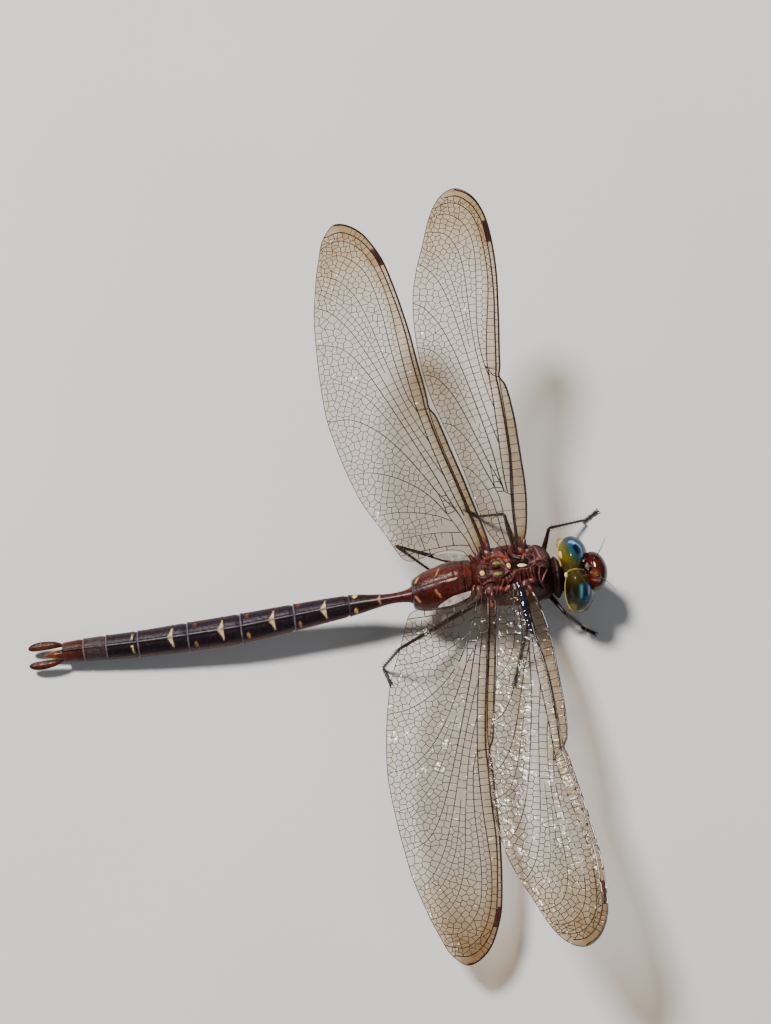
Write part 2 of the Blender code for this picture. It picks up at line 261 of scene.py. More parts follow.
def noise(tree, vector, scale, detail=3.0, roughness=0.55):
    settings = {"Scale": scale, "Detail": detail, "Roughness": roughness}
    return add_node(tree, "TexNoise", ("Vector", vector), **settings).outputs["Fac"]


def ramp(tree, value, stops):
    """A colour ramp; each stop is a place from 0 to 1 and a colour or a grey."""
    node = add_node(tree, "ValToRGB", ("Fac", value))
    elements = node.color_ramp.elements
    while len(elements) < len(stops):
        elements.new(0.5)
    for element, (at, colour) in zip(elements, stops):
        element.position = at
        element.color = (colour, colour, colour, 1.0) if isinstance(colour, float) else (*colour, 1.0)
    return node.outputs["Color"]


def mix(tree, kind, share, first, second):
    """Mix two colours; each may be a socket or a plain colour."""
    node = add_node(tree, "Mix", data_type="RGBA", blend_type=kind)
    for socket, value in (("Factor", share), (6, first), (7, second)):
        if isinstance(value, bpy.types.NodeSocket):
            wire(tree, node, (socket, value))
        else:
            node.inputs[socket].default_value = value
    return node.outputs[2]


def bump(tree, shader, height, strength, depth):
    """Relief, its depth in metres, on top of any that the shader already has."""
    node = add_node(tree, "Bump", ("Height", height), Strength=strength, Distance=depth)
    for before in shader.inputs["Normal"].links:
        wire(tree, node, ("Normal", before.from_socket))
    wire(tree, shader, ("Normal", node.outputs["Normal"]))


def painted(tree, layer="paint"):
    return add_node(tree, "Attribute", attribute_name=layer).outputs["Color"]


def feeding(shader, socket):
    """What already feeds a socket."""
    return shader.inputs[socket].links[0].from_socket


def chitin_finish(name, level, mottle, shade, gloss, relief):
    """Painted, mottled chitin with a worn gloss over fine pits and broader folds.

    mottle is the scale and grain of the patches, and shade their tones. gloss is the scale of
    the worn places and their roughness. relief is scale, strength and depth, of pits and folds.
    """
    material, tree, shader = new_finish(name, Specular_IOR_Level=level)
    spots = body_place(tree)
    patches = ramp(tree, noise(tree, spots, mottle[0], 6.0, mottle[1]), shade)
    colour = mix(tree, "MULTIPLY", 1.0, painted(tree), patches)
    shine = ramp(tree, noise(tree, spots, gloss[0], 4.0), gloss[1:])
    wire(tree, shader, ("Base Color", colour), ("Roughness", shine))
    for (scale, strength, depth), detail in zip(relief, (4.0, 3.0)):
        bump(tree, shader, noise(tree, spots, scale, detail), strength, depth)
    return material, tree, shader


def shell_finish(name="polished_shell", smoothest=0.18, roughest=0.36, level=0.36, depth=1.0):
    """Polished chitin with tiny pits."""
    return chitin_finish(
        name, level, mottle=(1.6, 0.65), shade=((0.3, 0.42), (0.5, 0.92), (0.7, 1.5)),
        gloss=(3.5, (0.25, smoothest), (0.75, roughest)),
        relief=((11.0, 0.5, 0.00004 * depth), (2.2, 0.45, 0.00012 * depth)))[0]


def back_finish():
    """The back between the wings: deeply wrinkled chitin, duller below the wings' roots."""
    material, tree, shader = chitin_finish(
        "wrinkled_shell", 0.2, mottle=(1.9, 0.7), shade=((0.32, 0.30), (0.5, 0.95), (0.68, 1.65)),
        gloss=(4.0, (0.3, 0.22), (0.7, 0.5)), relief=((9.0, 0.6, 0.00005), (2.6, 0.6, 0.00016)))
    centimetres = add_node(tree, "SeparateXYZ", ("Vector", body_place(tree, 100.0)))
    above = ramp(tree, centimetres.outputs["Z"], ((0.70, 0.0), (0.86, 1.0)))
    dull = (0.62, 0.62, 0.62, 1.0)
    wire(tree, shader, ("Roughness", mix(tree, "MIX", above, dull, feeding(shader, "Roughness"))))
    return material


def dark_tail_finish():
    """Blackish abdomen: fine wrinkles, a satin sheen, and small grey specks painted as speckle highlights."""
    material, tree, shader = chitin_finish(
        "satin_shell", 0.2, mottle=(2.0, 0.65), shade=((0.3, 0.5), (0.5, 0.95), (0.7, 1.6)),
        gloss=(3.0, (0.25, 0.26), (0.75, 0.5)), relief=((13.0, 0.6, 0.00004), (2.4, 0.5, 0.00012)))
    # Painted highlights: small grey specks mixed into the colour.
    worn = ramp(tree, noise(tree, body_place(tree), 4.5, 5.0, 0.7), ((0.56, 0.0), (0.70, 0.45)))
    grey = (0.050, 0.040, 0.052, 1.0)
    wire(tree, shader, ("Base Color", mix(tree, "MIX", worn, feeding(shader, "Base Color"), grey)))
    return material


def eye_finish():
    """Facetted eye: deep painted colour under a clear gloss, with a fine honeycomb of lenses."""
    material, tree, shader = new_finish(
        "facetted_eye", Specular_IOR_Level=0.06, Coat_Weight=0.85, Coat_Roughness=0.07, Coat_IOR=1.22)
    spots = body_place(tree)
    lenses = add_node(tree, "TexVoronoi", ("Vector", spots), Scale=22.0, Randomness=0.25)
    shade = ramp(tree, lenses.outputs["Distance"], ((0.0, 1.15), (0.55, 0.85), (0.9, 0.5)))
    gloss = ramp(tree, noise(tree, spots, 2.0, 2.0), ((0.3, 0.25), (0.7, 0.38)))
    colour = mix(tree, "MULTIPLY", 0.6, painted(tree), shade)
    wire(tree, shader, ("Base Color", colour), ("Roughness", gloss))
    bump(tree, shader, lenses.outputs["Distance"], 0.3, 0.00001)
    return material


def vein_finish():
    """Wing veins: black-brown, redder near the body, glossy."""
    material, tree, shader = new_finish("wing_vein", Specular_IOR_Level=0.8)
    gloss = ramp(tree, noise(tree, body_place(tree), 2.5, 3.0), ((0.3, 0.2), (0.7, 0.36)))
    wire(tree, shader, ("Base Color", painted(tree)), ("Roughness", gloss))
    return material


def film_finish():
    """Wing film: smoky amber, see-through, with a rippled gloss like cellophane."""
    material, tree, body = new_finish("wing_film", Specular_IOR_Level=0.0, IOR=1.5, Roughness=0.5)
    spots = body_place(tree)
    cloud = noise(tree, spots, 0.7, 4.0)
    stain = add_node(tree, "SeparateColor", ("Color", painted(tree, "stain"))).outputs["Red"]
    patches = ramp(tree, cloud, ((0.25, 0.7), (0.75, 1.3)))
    share = add_node(tree, "Math", (0, stain), (1, patches), operation="MULTIPLY")
    tint = ramp(tree, share.outputs["Value"], (
        (0.0, (0.975, 0.955, 0.925)), (0.5, (0.870, 0.790, 0.680)), (1.0, (0.72, 0.580, 0.420))))
    clear = add_node(tree, "BsdfTransparent", ("Color", tint)).outputs["BSDF"]
    dust = ramp(tree, cloud, ((0.3, (0.10, 0.062, 0.030)), (0.7, (0.17, 0.105, 0.045))))
    wire(tree, body, ("Base Color", dust))
    veil = add_node(tree, "MixShader", (1, clear), (2, body.outputs["BSDF"]), Fac=FILM_DUST)
    waves = noise(tree, spots, 1.3, 2.0)
    ripple = add_node(tree, "Bump", ("Height", waves), Strength=0.55, Distance=0.0003)
    shine = add_node(tree, "BsdfAnisotropic", ("Normal", ripple.outputs["Normal"]), Roughness=0.18)
    facing = add_node(tree, "Fresnel", IOR=1.35).outputs["Fac"]
    most = add_node(tree, "Math", (0, facing), operation="MINIMUM")
    most.inputs[1].default_value = FILM_SHINE
    gloss = add_node(
        tree, "MixShader", ("Fac", most.outputs["Value"]), (1, veil.outputs["Shader"]),
        (2, shine.outputs["BSDF"]))
    wire(tree, tree.nodes["Material Output"], ("Surface", gloss.outputs["Shader"]))
    return material


def floor_finish():
    """Plain pale studio floor, a little uneven in tone."""
    material, tree, shader = new_finish("studio_floor", Specular_IOR_Level=0.2, Roughness=0.85)
    tone = ramp(tree, noise(tree, body_place(tree, 12.0), 1.0, 2.0), ((0.3, 0.60), (0.7, 0.66)))
    wire(tree, shader, ("Base Color", tone))
    return material


# ---------------------------------------------------------------- wings

# Outlines and veins are drawn in ten-thousandths of the wing's length: out along it, back
# across it.
FORE_OUTLINE = (
    (-340, 100), (0, -50), (310, -180), (740, -285), (1250, -375), (1800, -425), (2350, -445),
    (2900, -465), (3400, -485), (3800, -475), (4200, -455), (4530, -400), (4730, -295), (5000, -370),
    (5350, -425), (5850, -515), (6300, -595), (6850, -680), (7300, -750), (7800, -800), (8400, -820),
    (8900, -795), (9250, -730), (9600, -590), (9860, -370), (10000, -80), (9920, 250), (9660, 550),
    (9250, 810), (8640, 1090), (8230, 1290), (7850, 1450), (7300, 1620), (6500, 1740), (5700, 1770),
    (5000, 1740), (4400, 1650), (3700, 1490), (3200, 1360), (2500, 1225), (1800, 1110), (1200, 1015),
    (600, 910), (200, 740), (-50, 580), (-340, 450))
HIND_OUTLINE = (
    (-340, -240), (0, -340), (500, -375), (1200, -385), (2000, -400), (2800, -395), (3500, -400),
    (3950, -385), (4200, -305), (4500, -360), (4856, -420), (5250, -470), (5750, -540), (6350, -630),
    (6950, -685), (7400, -720), (8000, -745), (8500, -740), (8850, -685), (9150, -610), (9450, -500),
    (9700, -330), (9900, -100), (9980, 150), (9860, 400), (9630, 670), (9300, 880), (8900, 1130),
    (8500, 1340), (8000, 1590), (7600, 1760), (7000, 1960), (6500, 2120), (6000, 2260), (5500, 2390),
    (5000, 2490), (4400, 2545), (3700, 2570), (3000, 2550), (2540, 2515), (2180, 2445), (1550, 2285),
    (1180, 2210), (800, 2135), (540, 2040), (410, 1820), (380, 1300), (300, 800), (130, 470), (0, 380),
    (-340, 300))


def front_vein(outline, count, *tip):
    """The vein just behind the front edge: the outline's first points, set back, and its tip."""
    return (*((out, back + 20) for out, back in outline[:count]), *tip)


FORE_VEINS = {
    # name: thickness at its start and end (radius in mm), pleat height, points
    "costa": (0.13, 0.085, 0.05, front_vein(
        FORE_OUTLINE, 23, (9580, -570), (9830, -350), (9970, -80))),
    "subcosta": (0.085, 0.06, -0.12, (
        (-340, 150), (0, 110), (400, 85), (970, 40), (1800, -85), (2350, -160), (2670, -192),
        (3200, -225), (3800, -250), (4360, -265), (4720, -280))),
    "radius": (0.14, 0.065, 0.16, (
        (-340, 210), (0, 165), (350, 135), (950, 85), (1650, 0), (2000, -60), (2350, -115),
        (2670, -145), (3200, -175), (3800, -195), (4370, -200), (4750, -195), (5000, -245),
        (5350, -305), (5850, -390), (6300, -465), (6800, -555), (7300, -620), (7800, -665),
        (8300, -680), (8900, -655), (9300, -550), (9600, -360), (9800, -80), (9810, 230))),
    "sector_one": (0.08, 0.05, -0.15, (
        (1480, 120), (2000, 125), (2700, 95), (3400, 45), (4100, 5), (4750, -15), (5200, -35),
        (5800, -140), (6330, -262), (6860, -395), (7390, -500), (7870, -545), (8400, -555),
        (8900, -510), (9300, -370), (9560, -120), (9660, 200), (9570, 590))),
    "sector_two": (0.06, 0.045, 0.14, (
        (4750, -15), (5100, 45), (5500, 80), (6000, 68), (6400, 18), (6930, -75), (7720, -225),
        (8300, -290), (8800, -240), (9170, -40), (9380, 280), (9370, 740))),
    "sector_between": (0.055, 0.045, -0.12, (
        (3900, 15), (4400, 115), (5000, 175), (5600, 205), (6200, 200), (7000, 145), (7800, 100),
        (8400, 160), (8850, 400), (9030, 920))),
    "sector_three": (0.06, 0.045, 0.1, (
        (2900, 85), (3400, 180), (4000, 285), (5000, 410), (6000, 520), (6900, 640), (7600, 820),
        (8050, 1080), (8220, 1295))),
    "media_front": (0.08, 0.045, 0.12, (
        (1550, 210), (2000, 265), (2700, 315), (3300, 385), (4000, 490), (5000, 660), (5800, 830),
        (6500, 1060), (7000, 1360), (7200, 1640))),
    "media_rear": (0.07, 0.045, -0.1, (
        (2400, 460), (3000, 620), (4000, 890), (4600, 1120), (5050, 1420), (5220, 1755))),
    "cubitus": (0.07, 0.045, 0.05, (
        (1720, 450), (2200, 600), (2800, 780), (3300, 990), (3650, 1230), (3800, 1515))),
    "anal": (0.075, 0.045, -0.03, (
        (-340, 360), (0, 440), (500, 505), (1000, 540), (1400, 590), (1700, 670), (2100, 850),
        (2370, 1040), (2500, 1225))),
    "stem": (0.085, 0.06, -0.06, (
        (-340, 280), (0, 310), (500, 360), (1000, 355), (1450, 380), (1720, 450))),
    "supplement_front": (0.045, 0.04, 0.0, (
        (5700, 355), (6300, 380), (7100, 420), (7800, 520), (8300, 720), (8620, 1100))),
    "supplement_rear": (0.045, 0.04, 0.0, (
        (3600, 610), (4400, 810), (5200, 1030), (5750, 1310), (6000, 1765))),
}
# Short cross pieces: the bridge where the sectors start, the triangles and the nodus
FORE_STROKES = (
    ((1400, 35), (1470, 110), (1550, 210)), ((1550, 210), (1580, 400)),
    ((1650, 225), (1680, 330), (1720, 450)), ((1650, 225), (2000, 330), (2400, 460)),
    ((1720, 450), (2050, 445), (2400, 460)), ((1850, 290), (1870, 447)), ((2050, 350), (2060, 447)),
    ((1900, 255), (1920, 310)), ((2180, 280), (2200, 395)), ((2450, 300), (2500, 485)),
    ((1720, 450), (1680, 660)), ((4730, -275), (4760, -195), (4820, -120), (5120, 40)),
    ((4950, -235), (5030, -30)))
ONE_ROW = 9.0
FORE_FIELDS = (
    # front vein, rear vein (None: the wing's edge), from, to (None: the edge), and the length
    # of a cell and the height of a row in mm (ONE_ROW: a single row of cells)
    ("costa", "subcosta", 0.02, 0.462, 0.95, ONE_ROW),
    ("costa", "radius", 0.488, 0.832, 0.85, ONE_ROW),
    ("costa", "radius", 0.9, 0.975, 0.55, ONE_ROW),
    ("radius", "stem", 0.02, 0.14, 1.5, ONE_ROW),
    ("stem", "anal", 0.03, 0.165, 1.25, ONE_ROW),
    ("radius", "sector_one", 0.15, None, 0.8, 1.05),
    ("sector_one", "media_front", 0.16, 0.29, 1.1, ONE_ROW),
    ("sector_one", "sector_three", 0.29, 0.39, 0.85, ONE_ROW),
    ("sector_one", "sector_between", 0.4, 0.475, 0.8, ONE_ROW),
    ("sector_one", "sector_two", 0.485, None, 0.75, 0.62),
    ("sector_two", "sector_between", 0.48, None, 0.78, 0.68),
    ("sector_between", "supplement_front", 0.57, None, 0.72, 0.6),
    ("supplement_front", "sector_three", 0.57, None, 0.72, 0.62),
    ("sector_between", "sector_three", 0.39, 0.57, 0.85, 0.9),
    ("sector_three", "media_front", 0.3, None, 0.8, 0.82),
    ("media_front", "media_rear", 0.24, 0.36, 0.8, 0.8),
    ("media_front", "supplement_rear", 0.36, None, 0.78, 0.66),
    ("supplement_rear", "media_rear", 0.36, None, 0.75, 0.68),
    ("media_rear", "cubitus", 0.235, None, 0.78, 0.72),
    ("cubitus", "anal", 0.175, None, 0.8, 0.75),
    ("anal", None, 0.0, 0.25, 0.9, 0.78),
)
HIND_VEINS = {
    "costa": (0.13, 0.085, 0.05, front_vein(
        HIND_OUTLINE, 20, (9440, -480), (9680, -315), (9880, -90), (9955, 140))),
    "subcosta": (0.085, 0.06, -0.12, (
        (-340, -180), (0, -190), (500, -205), (1200, -207), (2000, -207), (2800, -202), (3500, -215),
        (4000, -250), (4200, -285))),
    "radius": (0.14, 0.065, 0.16, (
        (-340, -120), (0, -135), (500, -150), (1200, -155), (2000, -155), (2800, -147), (3500, -155),
        (4200, -185), (4500, -235), (4823, -280), (5290, -335), (5780, -405), (6200, -480),
        (6600, -535), (7100, -580), (7600, -600), (8100, -610), (8600, -585), (9000, -500),
        (9300, -370), (9570, -160), (9740, 120), (9740, 535))),
    "sector_one": (0.08, 0.05, -0.15, (
        (980, -10), (1500, 35), (2200, 65), (3000, 75), (3600, 65), (4200, 40), (4590, 15), (5023, -35),
        (5596, -115), (6020, -185), (6500, -275), (7138, -395), (7600, -445), (8000, -460),
        (8500, -430), (9000, -300), (9350, -60), (9530, 260), (9500, 755))),
    "sector_two": (0.06, 0.045, 0.14, (
        (4200, 40), (4600, 125), (5000, 140), (5600, 105), (6200, 35), (7000, -100), (7800, -180),
        (8400, -140), (8850, 60), (9150, 380), (9200, 940))),
    "sector_between": (0.055, 0.045, -0.12, (
        (3300, 70), (3800, 175), (4300, 250), (5000, 300), (6000, 315), (7000, 300), (7800, 360),
        (8400, 580), (8750, 940), (8830, 1170))),
    "sector_three": (0.06, 0.045, 0.1, (
        (2250, 65), (2700, 175), (3400, 310), (4150, 435), (5000, 545), (6000, 670), (7000, 870),
        (7700, 1170), (8080, 1550))),
    "media_front": (0.08, 0.045, 0.12, (
        (1000, 95), (1500, 195), (2300, 300), (3000, 410), (4150, 600), (5000, 750), (6000, 980),
        (6700, 1310), (7100, 1930))),
    "media_rear": (0.07, 0.045, -0.08, (
        (1900, 430), (2700, 660), (3500, 950), (4200, 1320), (4750, 1840), (4970, 2495))),
    "cubitus": (0.07, 0.045, 0.04, (
        (1250, 420), (1800, 620), (2350, 960), (2850, 1450), (3200, 2000), (3350, 2560))),
    "anal_one": (0.055, 0.045, 0.0, (
        (1000, 360), (1350, 750), (1650, 1250), (1880, 1800), (2000, 2400))),
    "anal_two": (0.055, 0.045, 0.0, (
        (620, 270), (800, 700), (960, 1200), (1080, 1700), (1170, 2210))),
    "anal": (0.08, 0.05, -0.03, (
        (-340, 140), (0, 175), (400, 215), (620, 270), (1000, 360), (1250, 420))),
    "stem": (0.085, 0.06, -0.06, (
        (-340, 30), (0, 45), (500, 60), (1000, 95), (1250, 155))),
    "supplement_front": (0.045, 0.04, 0.0, (
        (5600, 455), (6400, 495), (7100, 580), (7800, 830), (8250, 1180), (8450, 1370))),
    "supplement_rear": (0.045, 0.04, 0.0, (
        (3300, 650), (4200, 870), (5100, 1190), (5750, 1660), (6030, 2250))),
}
HIND_STROKES = (
    ((930, -145), (980, -20), (1000, 95)), ((1250, 155), (1240, 280), (1250, 420)),
    ((1250, 155), (1600, 300), (1900, 430)), ((1250, 420), (1600, 410), (1900, 430)),
    ((1430, 245), (1440, 415)), ((1620, 315), (1630, 412)), ((1500, 195), (1530, 275)),
    ((1750, 235), (1780, 375)), ((4200, -285), (4210, -185), (4230, -80), (4300, 60)),
    ((4400, -215), (4470, 10)), ((180, 190), (360, 600), (500, 1150), (600, 1650), (680, 2085)),
    ((360, 600), (700, 520)), ((460, 1000), (880, 970)), ((550, 1400), (1000, 1370)),
    ((310, 820), (420, 800)), ((390, 1300), (530, 1280)), ((410, 1650), (590, 1620)))
HIND_FIELDS = (
    ("costa", "subcosta", 0.02, 0.405, 1.0, ONE_ROW),
    ("costa", "radius", 0.43, 0.832, 0.85, ONE_ROW),
    ("costa", "radius", 0.9, 0.97, 0.55, ONE_ROW),
    ("radius", "stem", 0.02, 0.09, 1.4, ONE_ROW),
    ("stem", "anal", 0.02, 0.12, 1.3, ONE_ROW),
    ("radius", "sector_one", 0.1, None, 0.82, 1.05),
    ("sector_one", "media_front", 0.105, 0.225, 1.1, ONE_ROW),
    ("sector_one", "sector_three", 0.225, 0.33, 0.9, ONE_ROW),
    ("sector_one", "sector_between", 0.335, 0.42, 0.85, ONE_ROW),
    ("sector_one", "sector_two", 0.43, None, 0.75, 0.66),
    ("sector_two", "sector_between", 0.42, None, 0.8, 0.72),
    ("sector_between", "supplement_front", 0.56, None, 0.74, 0.62),
    ("supplement_front", "sector_three", 0.56, None, 0.74, 0.66),
    ("sector_between", "sector_three", 0.33, 0.56, 0.9, 1.1),
    ("sector_three", "media_front", 0.23, None, 0.85, 0.9),
    ("media_front", "media_rear", 0.19, 0.33, 0.85, 0.85),
    ("media_front", "supplement_rear", 0.33, None, 0.85, 0.72),
    ("supplement_rear", "media_rear", 0.33, None, 0.85, 0.75),
    ("media_rear", "cubitus", 0.19, None, 0.82, 0.78),
    ("cubitus", "anal_one", 0.125, None, 0.85, 0.82),
    ("anal_one", "anal_two", 0.1, None, 0.9, 0.9),
    ("anal_two", None, 0.066, 0.117, 1.0, 0.9),
)
# The length in mm, and all that is drawn on each kind of wing
FORE_WING = (41.9, FORE_OUTLINE, FORE_VEINS, FORE_STROKES, FORE_FIELDS)
HIND_WING = (41.8, HIND_OUTLINE, HIND_VEINS, HIND_STROKES, HIND_FIELDS)
DRAWN = 10000.0             # the length of a wing as drawn
LINE_STEP = 0.4             # of the edge and the long veins
SNAP = 0.45                 # a vein that ends nearer to the edge than this is led to it
SHORTEST_WALL = 0.03
EDGE_RADIUS, STROKE_RADIUS, CELL_RADIUS = 0.045, 0.06, 0.036
FILM_THICKNESS, STIGMA_THICKNESS, FLAP_THICKNESS = 0.02, 0.13, 0.05
STIGMA_FROM, STIGMA_TO = 0.832, 0.9
COLUMNS = 260               # places along the wing at which its pleats are kept
FAR, FAR_SEEDS = 900.0, 13  # a ring of seeds round the wing closes the outer cells
# Hinge plates of a fore wing and of a hind wing: out, back and up from the root in mm, half
# sizes, turn in degrees, colour
ROOT_PLATES = (
    (((-0.25, -0.10, 0.05), (0.75, 0.30, 0.26), -22.0, (0.060, 0.016, 0.016)),
     ((-0.95, 0.35, 0.10), (0.62, 0.38, 0.30), 30.0, (0.115, 0.030, 0.024)),
     ((-0.55, 0.85, 0.02), (0.80, 0.26, 0.24), 8.0, (0.034, 0.010, 0.010)),
     ((-0.75, 1.60, -0.02), (0.75, 0.34, 0.22), -8.0, (0.080, 0.020, 0.014)),
     ((-0.85, 2.20, -0.12), (0.70, 0.26, 0.18), 12.0, (0.050, 0.012, 0.009)),
     ((0.35, 0.35, -0.06), (0.52, 0.30, 0.10), -10.0, (0.105, 0.036, 0.012)),
     ((-1.15, -0.45, 0.12), (0.36, 0.42, 0.24), 10.0, (0.10, 0.032, 0.026))),
    (((-0.25, -1.05, 0.05), (0.80, 0.30, 0.26), -6.0, (0.060, 0.018, 0.018)),
     ((-1.00, -0.75, 0.12), (0.60, 0.40, 0.28), 25.0, (0.11, 0.040, 0.038)),
     ((-0.45, -0.30, 0.05), (0.75, 0.28, 0.26), 6.0, (0.040, 0.011, 0.010)),
     ((-0.80, 0.45, 0.02), (0.70, 0.36, 0.24), -14.0, (0.095, 0.030, 0.024)),
     ((-0.90, 1.15, -0.08), (0.70, 0.30, 0.20), 10.0, (0.055, 0.014, 0.010)),
     ((0.45, -1.00, -0.04), (0.66, 0.26, 0.10), -3.0, (0.15, 0.055, 0.014)),
     ((-1.20, -1.40, 0.05), (0.34, 0.40, 0.24), 0.0, (0.085, 0.026, 0.020))),
)
WINGS = {
    # name: kind, root, sweep to the rear and lift above level in degrees, side
    "wing_fore_left": (FORE_WING, Vector((3.15, 2.95, 10.0)), 5.7, 24.2, 1),
    "wing_fore_right": (FORE_WING, Vector((3.1, -2.75, 9.9)), 2.3, 15.3, -1),
    "wing_hind_left": (HIND_WING, Vector((-2.1, 2.95, 9.8)), 16.8, 15.6, 1),
    "wing_hind_right": (HIND_WING, Vector((-2.35, -2.95, 9.5)), 9.8, -4.2, -1),
}


def inside(points, loop):
    """Which of the points lie inside the closed loop."""
    x, y = points[:, 0, None], points[:, 1, None]
    ax, ay = loop[None, :, 0], loop[None, :, 1]
    bx, by = np.roll(ax, -1, axis=1), np.roll(ay, -1, axis=1)
    level = (ay > y) != (by > y)
    rise = np.where(by == ay, 1e-12, by - ay)
    return (np.sum(level & (x < (bx - ax) * (y - ay) / rise + ax), axis=1) % 2) == 1


def trim(start, end, loop):
    """The parts of one straight wall that lie inside the closed loop."""
    along = end - start
    sides = np.roll(loop, -1, axis=0) - loop
    gap = loop - start
    cross = along[0] * sides[:, 1] - along[1] * sides[:, 0]
    cross = np.where(np.abs(cross) < 1e-12, 1e-12, cross)
    t = (gap[:, 0] * sides[:, 1] - gap[:, 1] * sides[:, 0]) / cross
    s = (gap[:, 0] * along[1] - gap[:, 1] * along[0]) / cross
    cuts = np.sort(t[(t > 0) & (t < 1) & (s >= 0) & (s <= 1)])
    stops = np.concatenate(([0.0], cuts, [1.0]))
    middles = start + along * ((stops[:-1] + stops[1:]) / 2)[:, None]
    kept = inside(middles, loop)
    return [
        (start + along * a, start + along * b)
        for a, b, keep in zip(stops, stops[1:], kept) if keep and (b - a) * np.hypot(*along) > 0.02]


def cell_walls(seeds, loop):
    """Straight walls half way between neighbouring seeds, trimmed to the field."""
    far = [(FAR * math.cos(a), FAR * math.sin(a)) for a in np.linspace(0, 6.2, FAR_SEEDS)]
    spots = [Vector(point) for point in [*seeds, *far]]
    spots, _, triangles, *_ = delaunay_2d_cdt(spots, [], [], 0, 1e-6)
    centres, beside = [], {}
    for index, (i, j, k) in enumerate(triangles):
        a, b, c = spots[i], spots[j], spots[k]
        turn = 2 * ((b - a).cross(c - a))
        ab, ac = (b - a).length_squared, (c - a).length_squared
        spot_x = a.x + ((c - a).y * ab - (b - a).y * ac) / turn
        spot_y = a.y + ((b - a).x * ac - (c - a).x * ab) / turn
        centres.append(np.array((spot_x, spot_y)))
        for pair in ((i, j), (j, k), (k, i)):
            beside.setdefault(tuple(sorted(pair)), []).append(index)
    walls = []
    for (i, j), owners in beside.items():
        if len(owners) == 2 and max(spots[i].length, spots[j].length) < FAR / 2:
            first, second = centres[owners[0]], centres[owners[1]]
            if np.hypot(*(second - first)) > SHORTEST_WALL:
                walls += trim(first, second, loop)
    return walls


def by_share(line, count):
    """The line's points at even shares of its length."""
    steps = np.concatenate(([0.0], np.cumsum(np.hypot(*np.diff(line, axis=0).T))))
    wanted = np.linspace(0, steps[-1], count)
    return np.stack([np.interp(wanted, steps, line[:, axis]) for axis in (0, 1)], 1), steps[-1]


def field_seeds(front, rear, cell, row, dice):
    """Seeds in staggered rows between two veins."""
    (front, reach), (rear, back_reach) = by_share(front, 400), by_share(rear, 400)
    length = (reach + back_reach) / 2
    seeds, at, odd = [], cell * 0.5, 0
    while at < length:
        index = min(399, int(400 * at / length))
        wide = float(np.hypot(*(rear[index] - front[index])))
        rows = max(1, round(wide / row))
        for number in range(rows):
            share = (number + 0.5) / rows
            shift = (0.25 if (number + odd) % 2 else -0.25) * cell * (rows > 1)
            spot = min(1.0, max(0.0, (at + shift) / length)) * 399
            low = int(spot)
            high = min(399, low + 1)
            f = front[low] + (front[high] - front[low]) * (spot - low)
            r = rear[low] + (rear[high] - rear[low]) * (spot - low)
            wobble = np.array((dice.uniform(-0.1, 0.1), dice.uniform(-0.08, 0.08))) * cell
            seeds.append(f + (r - f) * share + wobble * (rows > 1) + wobble * 0.4)
        at += cell * (1.0 if rows == 1 else 0.93) * dice.uniform(0.9, 1.1)
        odd += rows % 2
    return seeds


def lay_out_wing(kind, dice):
    """The wing's edge, its long veins and its cross veins, flat, in millimetres."""
    length, outline, veins, strokes, fields = kind
    edge = smooth_line(np.array(outline)[::-1] / DRAWN * length, LINE_STEP)
    long_veins = {}
    for name, (thick, thin, pleat, points) in veins.items():
        line = smooth_line(np.array(points) / DRAWN * length, LINE_STEP)
        nearest = int(np.argmin(np.hypot(*(edge - line[-1]).T)))
        if np.hypot(*(edge[nearest] - line[-1])) < SNAP and name != "costa":
            line[-1] = edge[nearest]
        long_veins[name] = (line, thick, thin, pleat, nearest)
    walls = []
    for front_name, rear_name, start, stop, cell, row in fields:
        front, *_, front_end = long_veins[front_name]
        low, high = start * length, (stop if stop else 2.0) * length
        front = front[(front[:, 0] >= low) & (front[:, 0] <= high)]
        if rear_name is None:
            keep = (edge[:, 0] >= low) & (edge[:, 0] <= high) & (edge[:, 1] > 0.02 * length)
            rear = edge[keep]
        else:
            rear, *_, rear_end = long_veins[rear_name]
            rear = rear[(rear[:, 0] >= low) & (rear[:, 0] <= high)]
            if stop is None:
                rear = np.concatenate((rear, edge[rear_end:front_end + 1]))
        loop = np.concatenate((front, rear[::-1]))
        walls += cell_walls(field_seeds(front, rear, cell, row, dice), loop)
    short = [smooth_line(np.array(stroke) / DRAWN * length, 0.5) for stroke in strokes]
    return edge, long_veins, short, walls


def pleat_map(kind, long_veins, edge):
    """A function giving the height of the pleated film at a place on the wing."""
    length = kind[0]
    outs = np.linspace(0, length, COLUMNS)
    rails = []
    for line, _, _, pleat, _ in long_veins.values():
        order = np.argsort(line[:, 0])
        rails.append((line[order, 0], line[order, 1], pleat))
    tip = int(np.argmax(edge[:, 0]))
    rear, front = edge[:tip + 1], edge[tip:][::-1]
    columns = []
    for out in outs:
        fade = (1.0 - ease(0.3, 1.0, out / length)) * ease(0.0, 0.06, out / length)
        row = [(np.interp(out, front[:, 0], front[:, 1]), 0.05 * fade),
               (np.interp(out, rear[:, 0], rear[:, 1]), 0.0)]
        for places, backs, pleat in rails:
            if places[0] <= out <= places[-1]:
                row.append((np.interp(out, places, backs), pleat * fade))
        row.sort()
        columns.append((np.array([r[0] for r in row]), np.array([r[1] for r in row])))

    def height(out, back):
        index = min(COLUMNS - 1, max(0, int(round(out / length * (COLUMNS - 1)))))
        backs, heights = columns[index]
        share = (back - backs[0]) / max(0.3, backs[-1] - backs[0])
        droop = -0.55 * share * share * math.sin(math.pi * min(1.0, max(0.0, out / length)) ** 0.8)
        return float(np.interp(back, backs, heights)) + droop
    return height


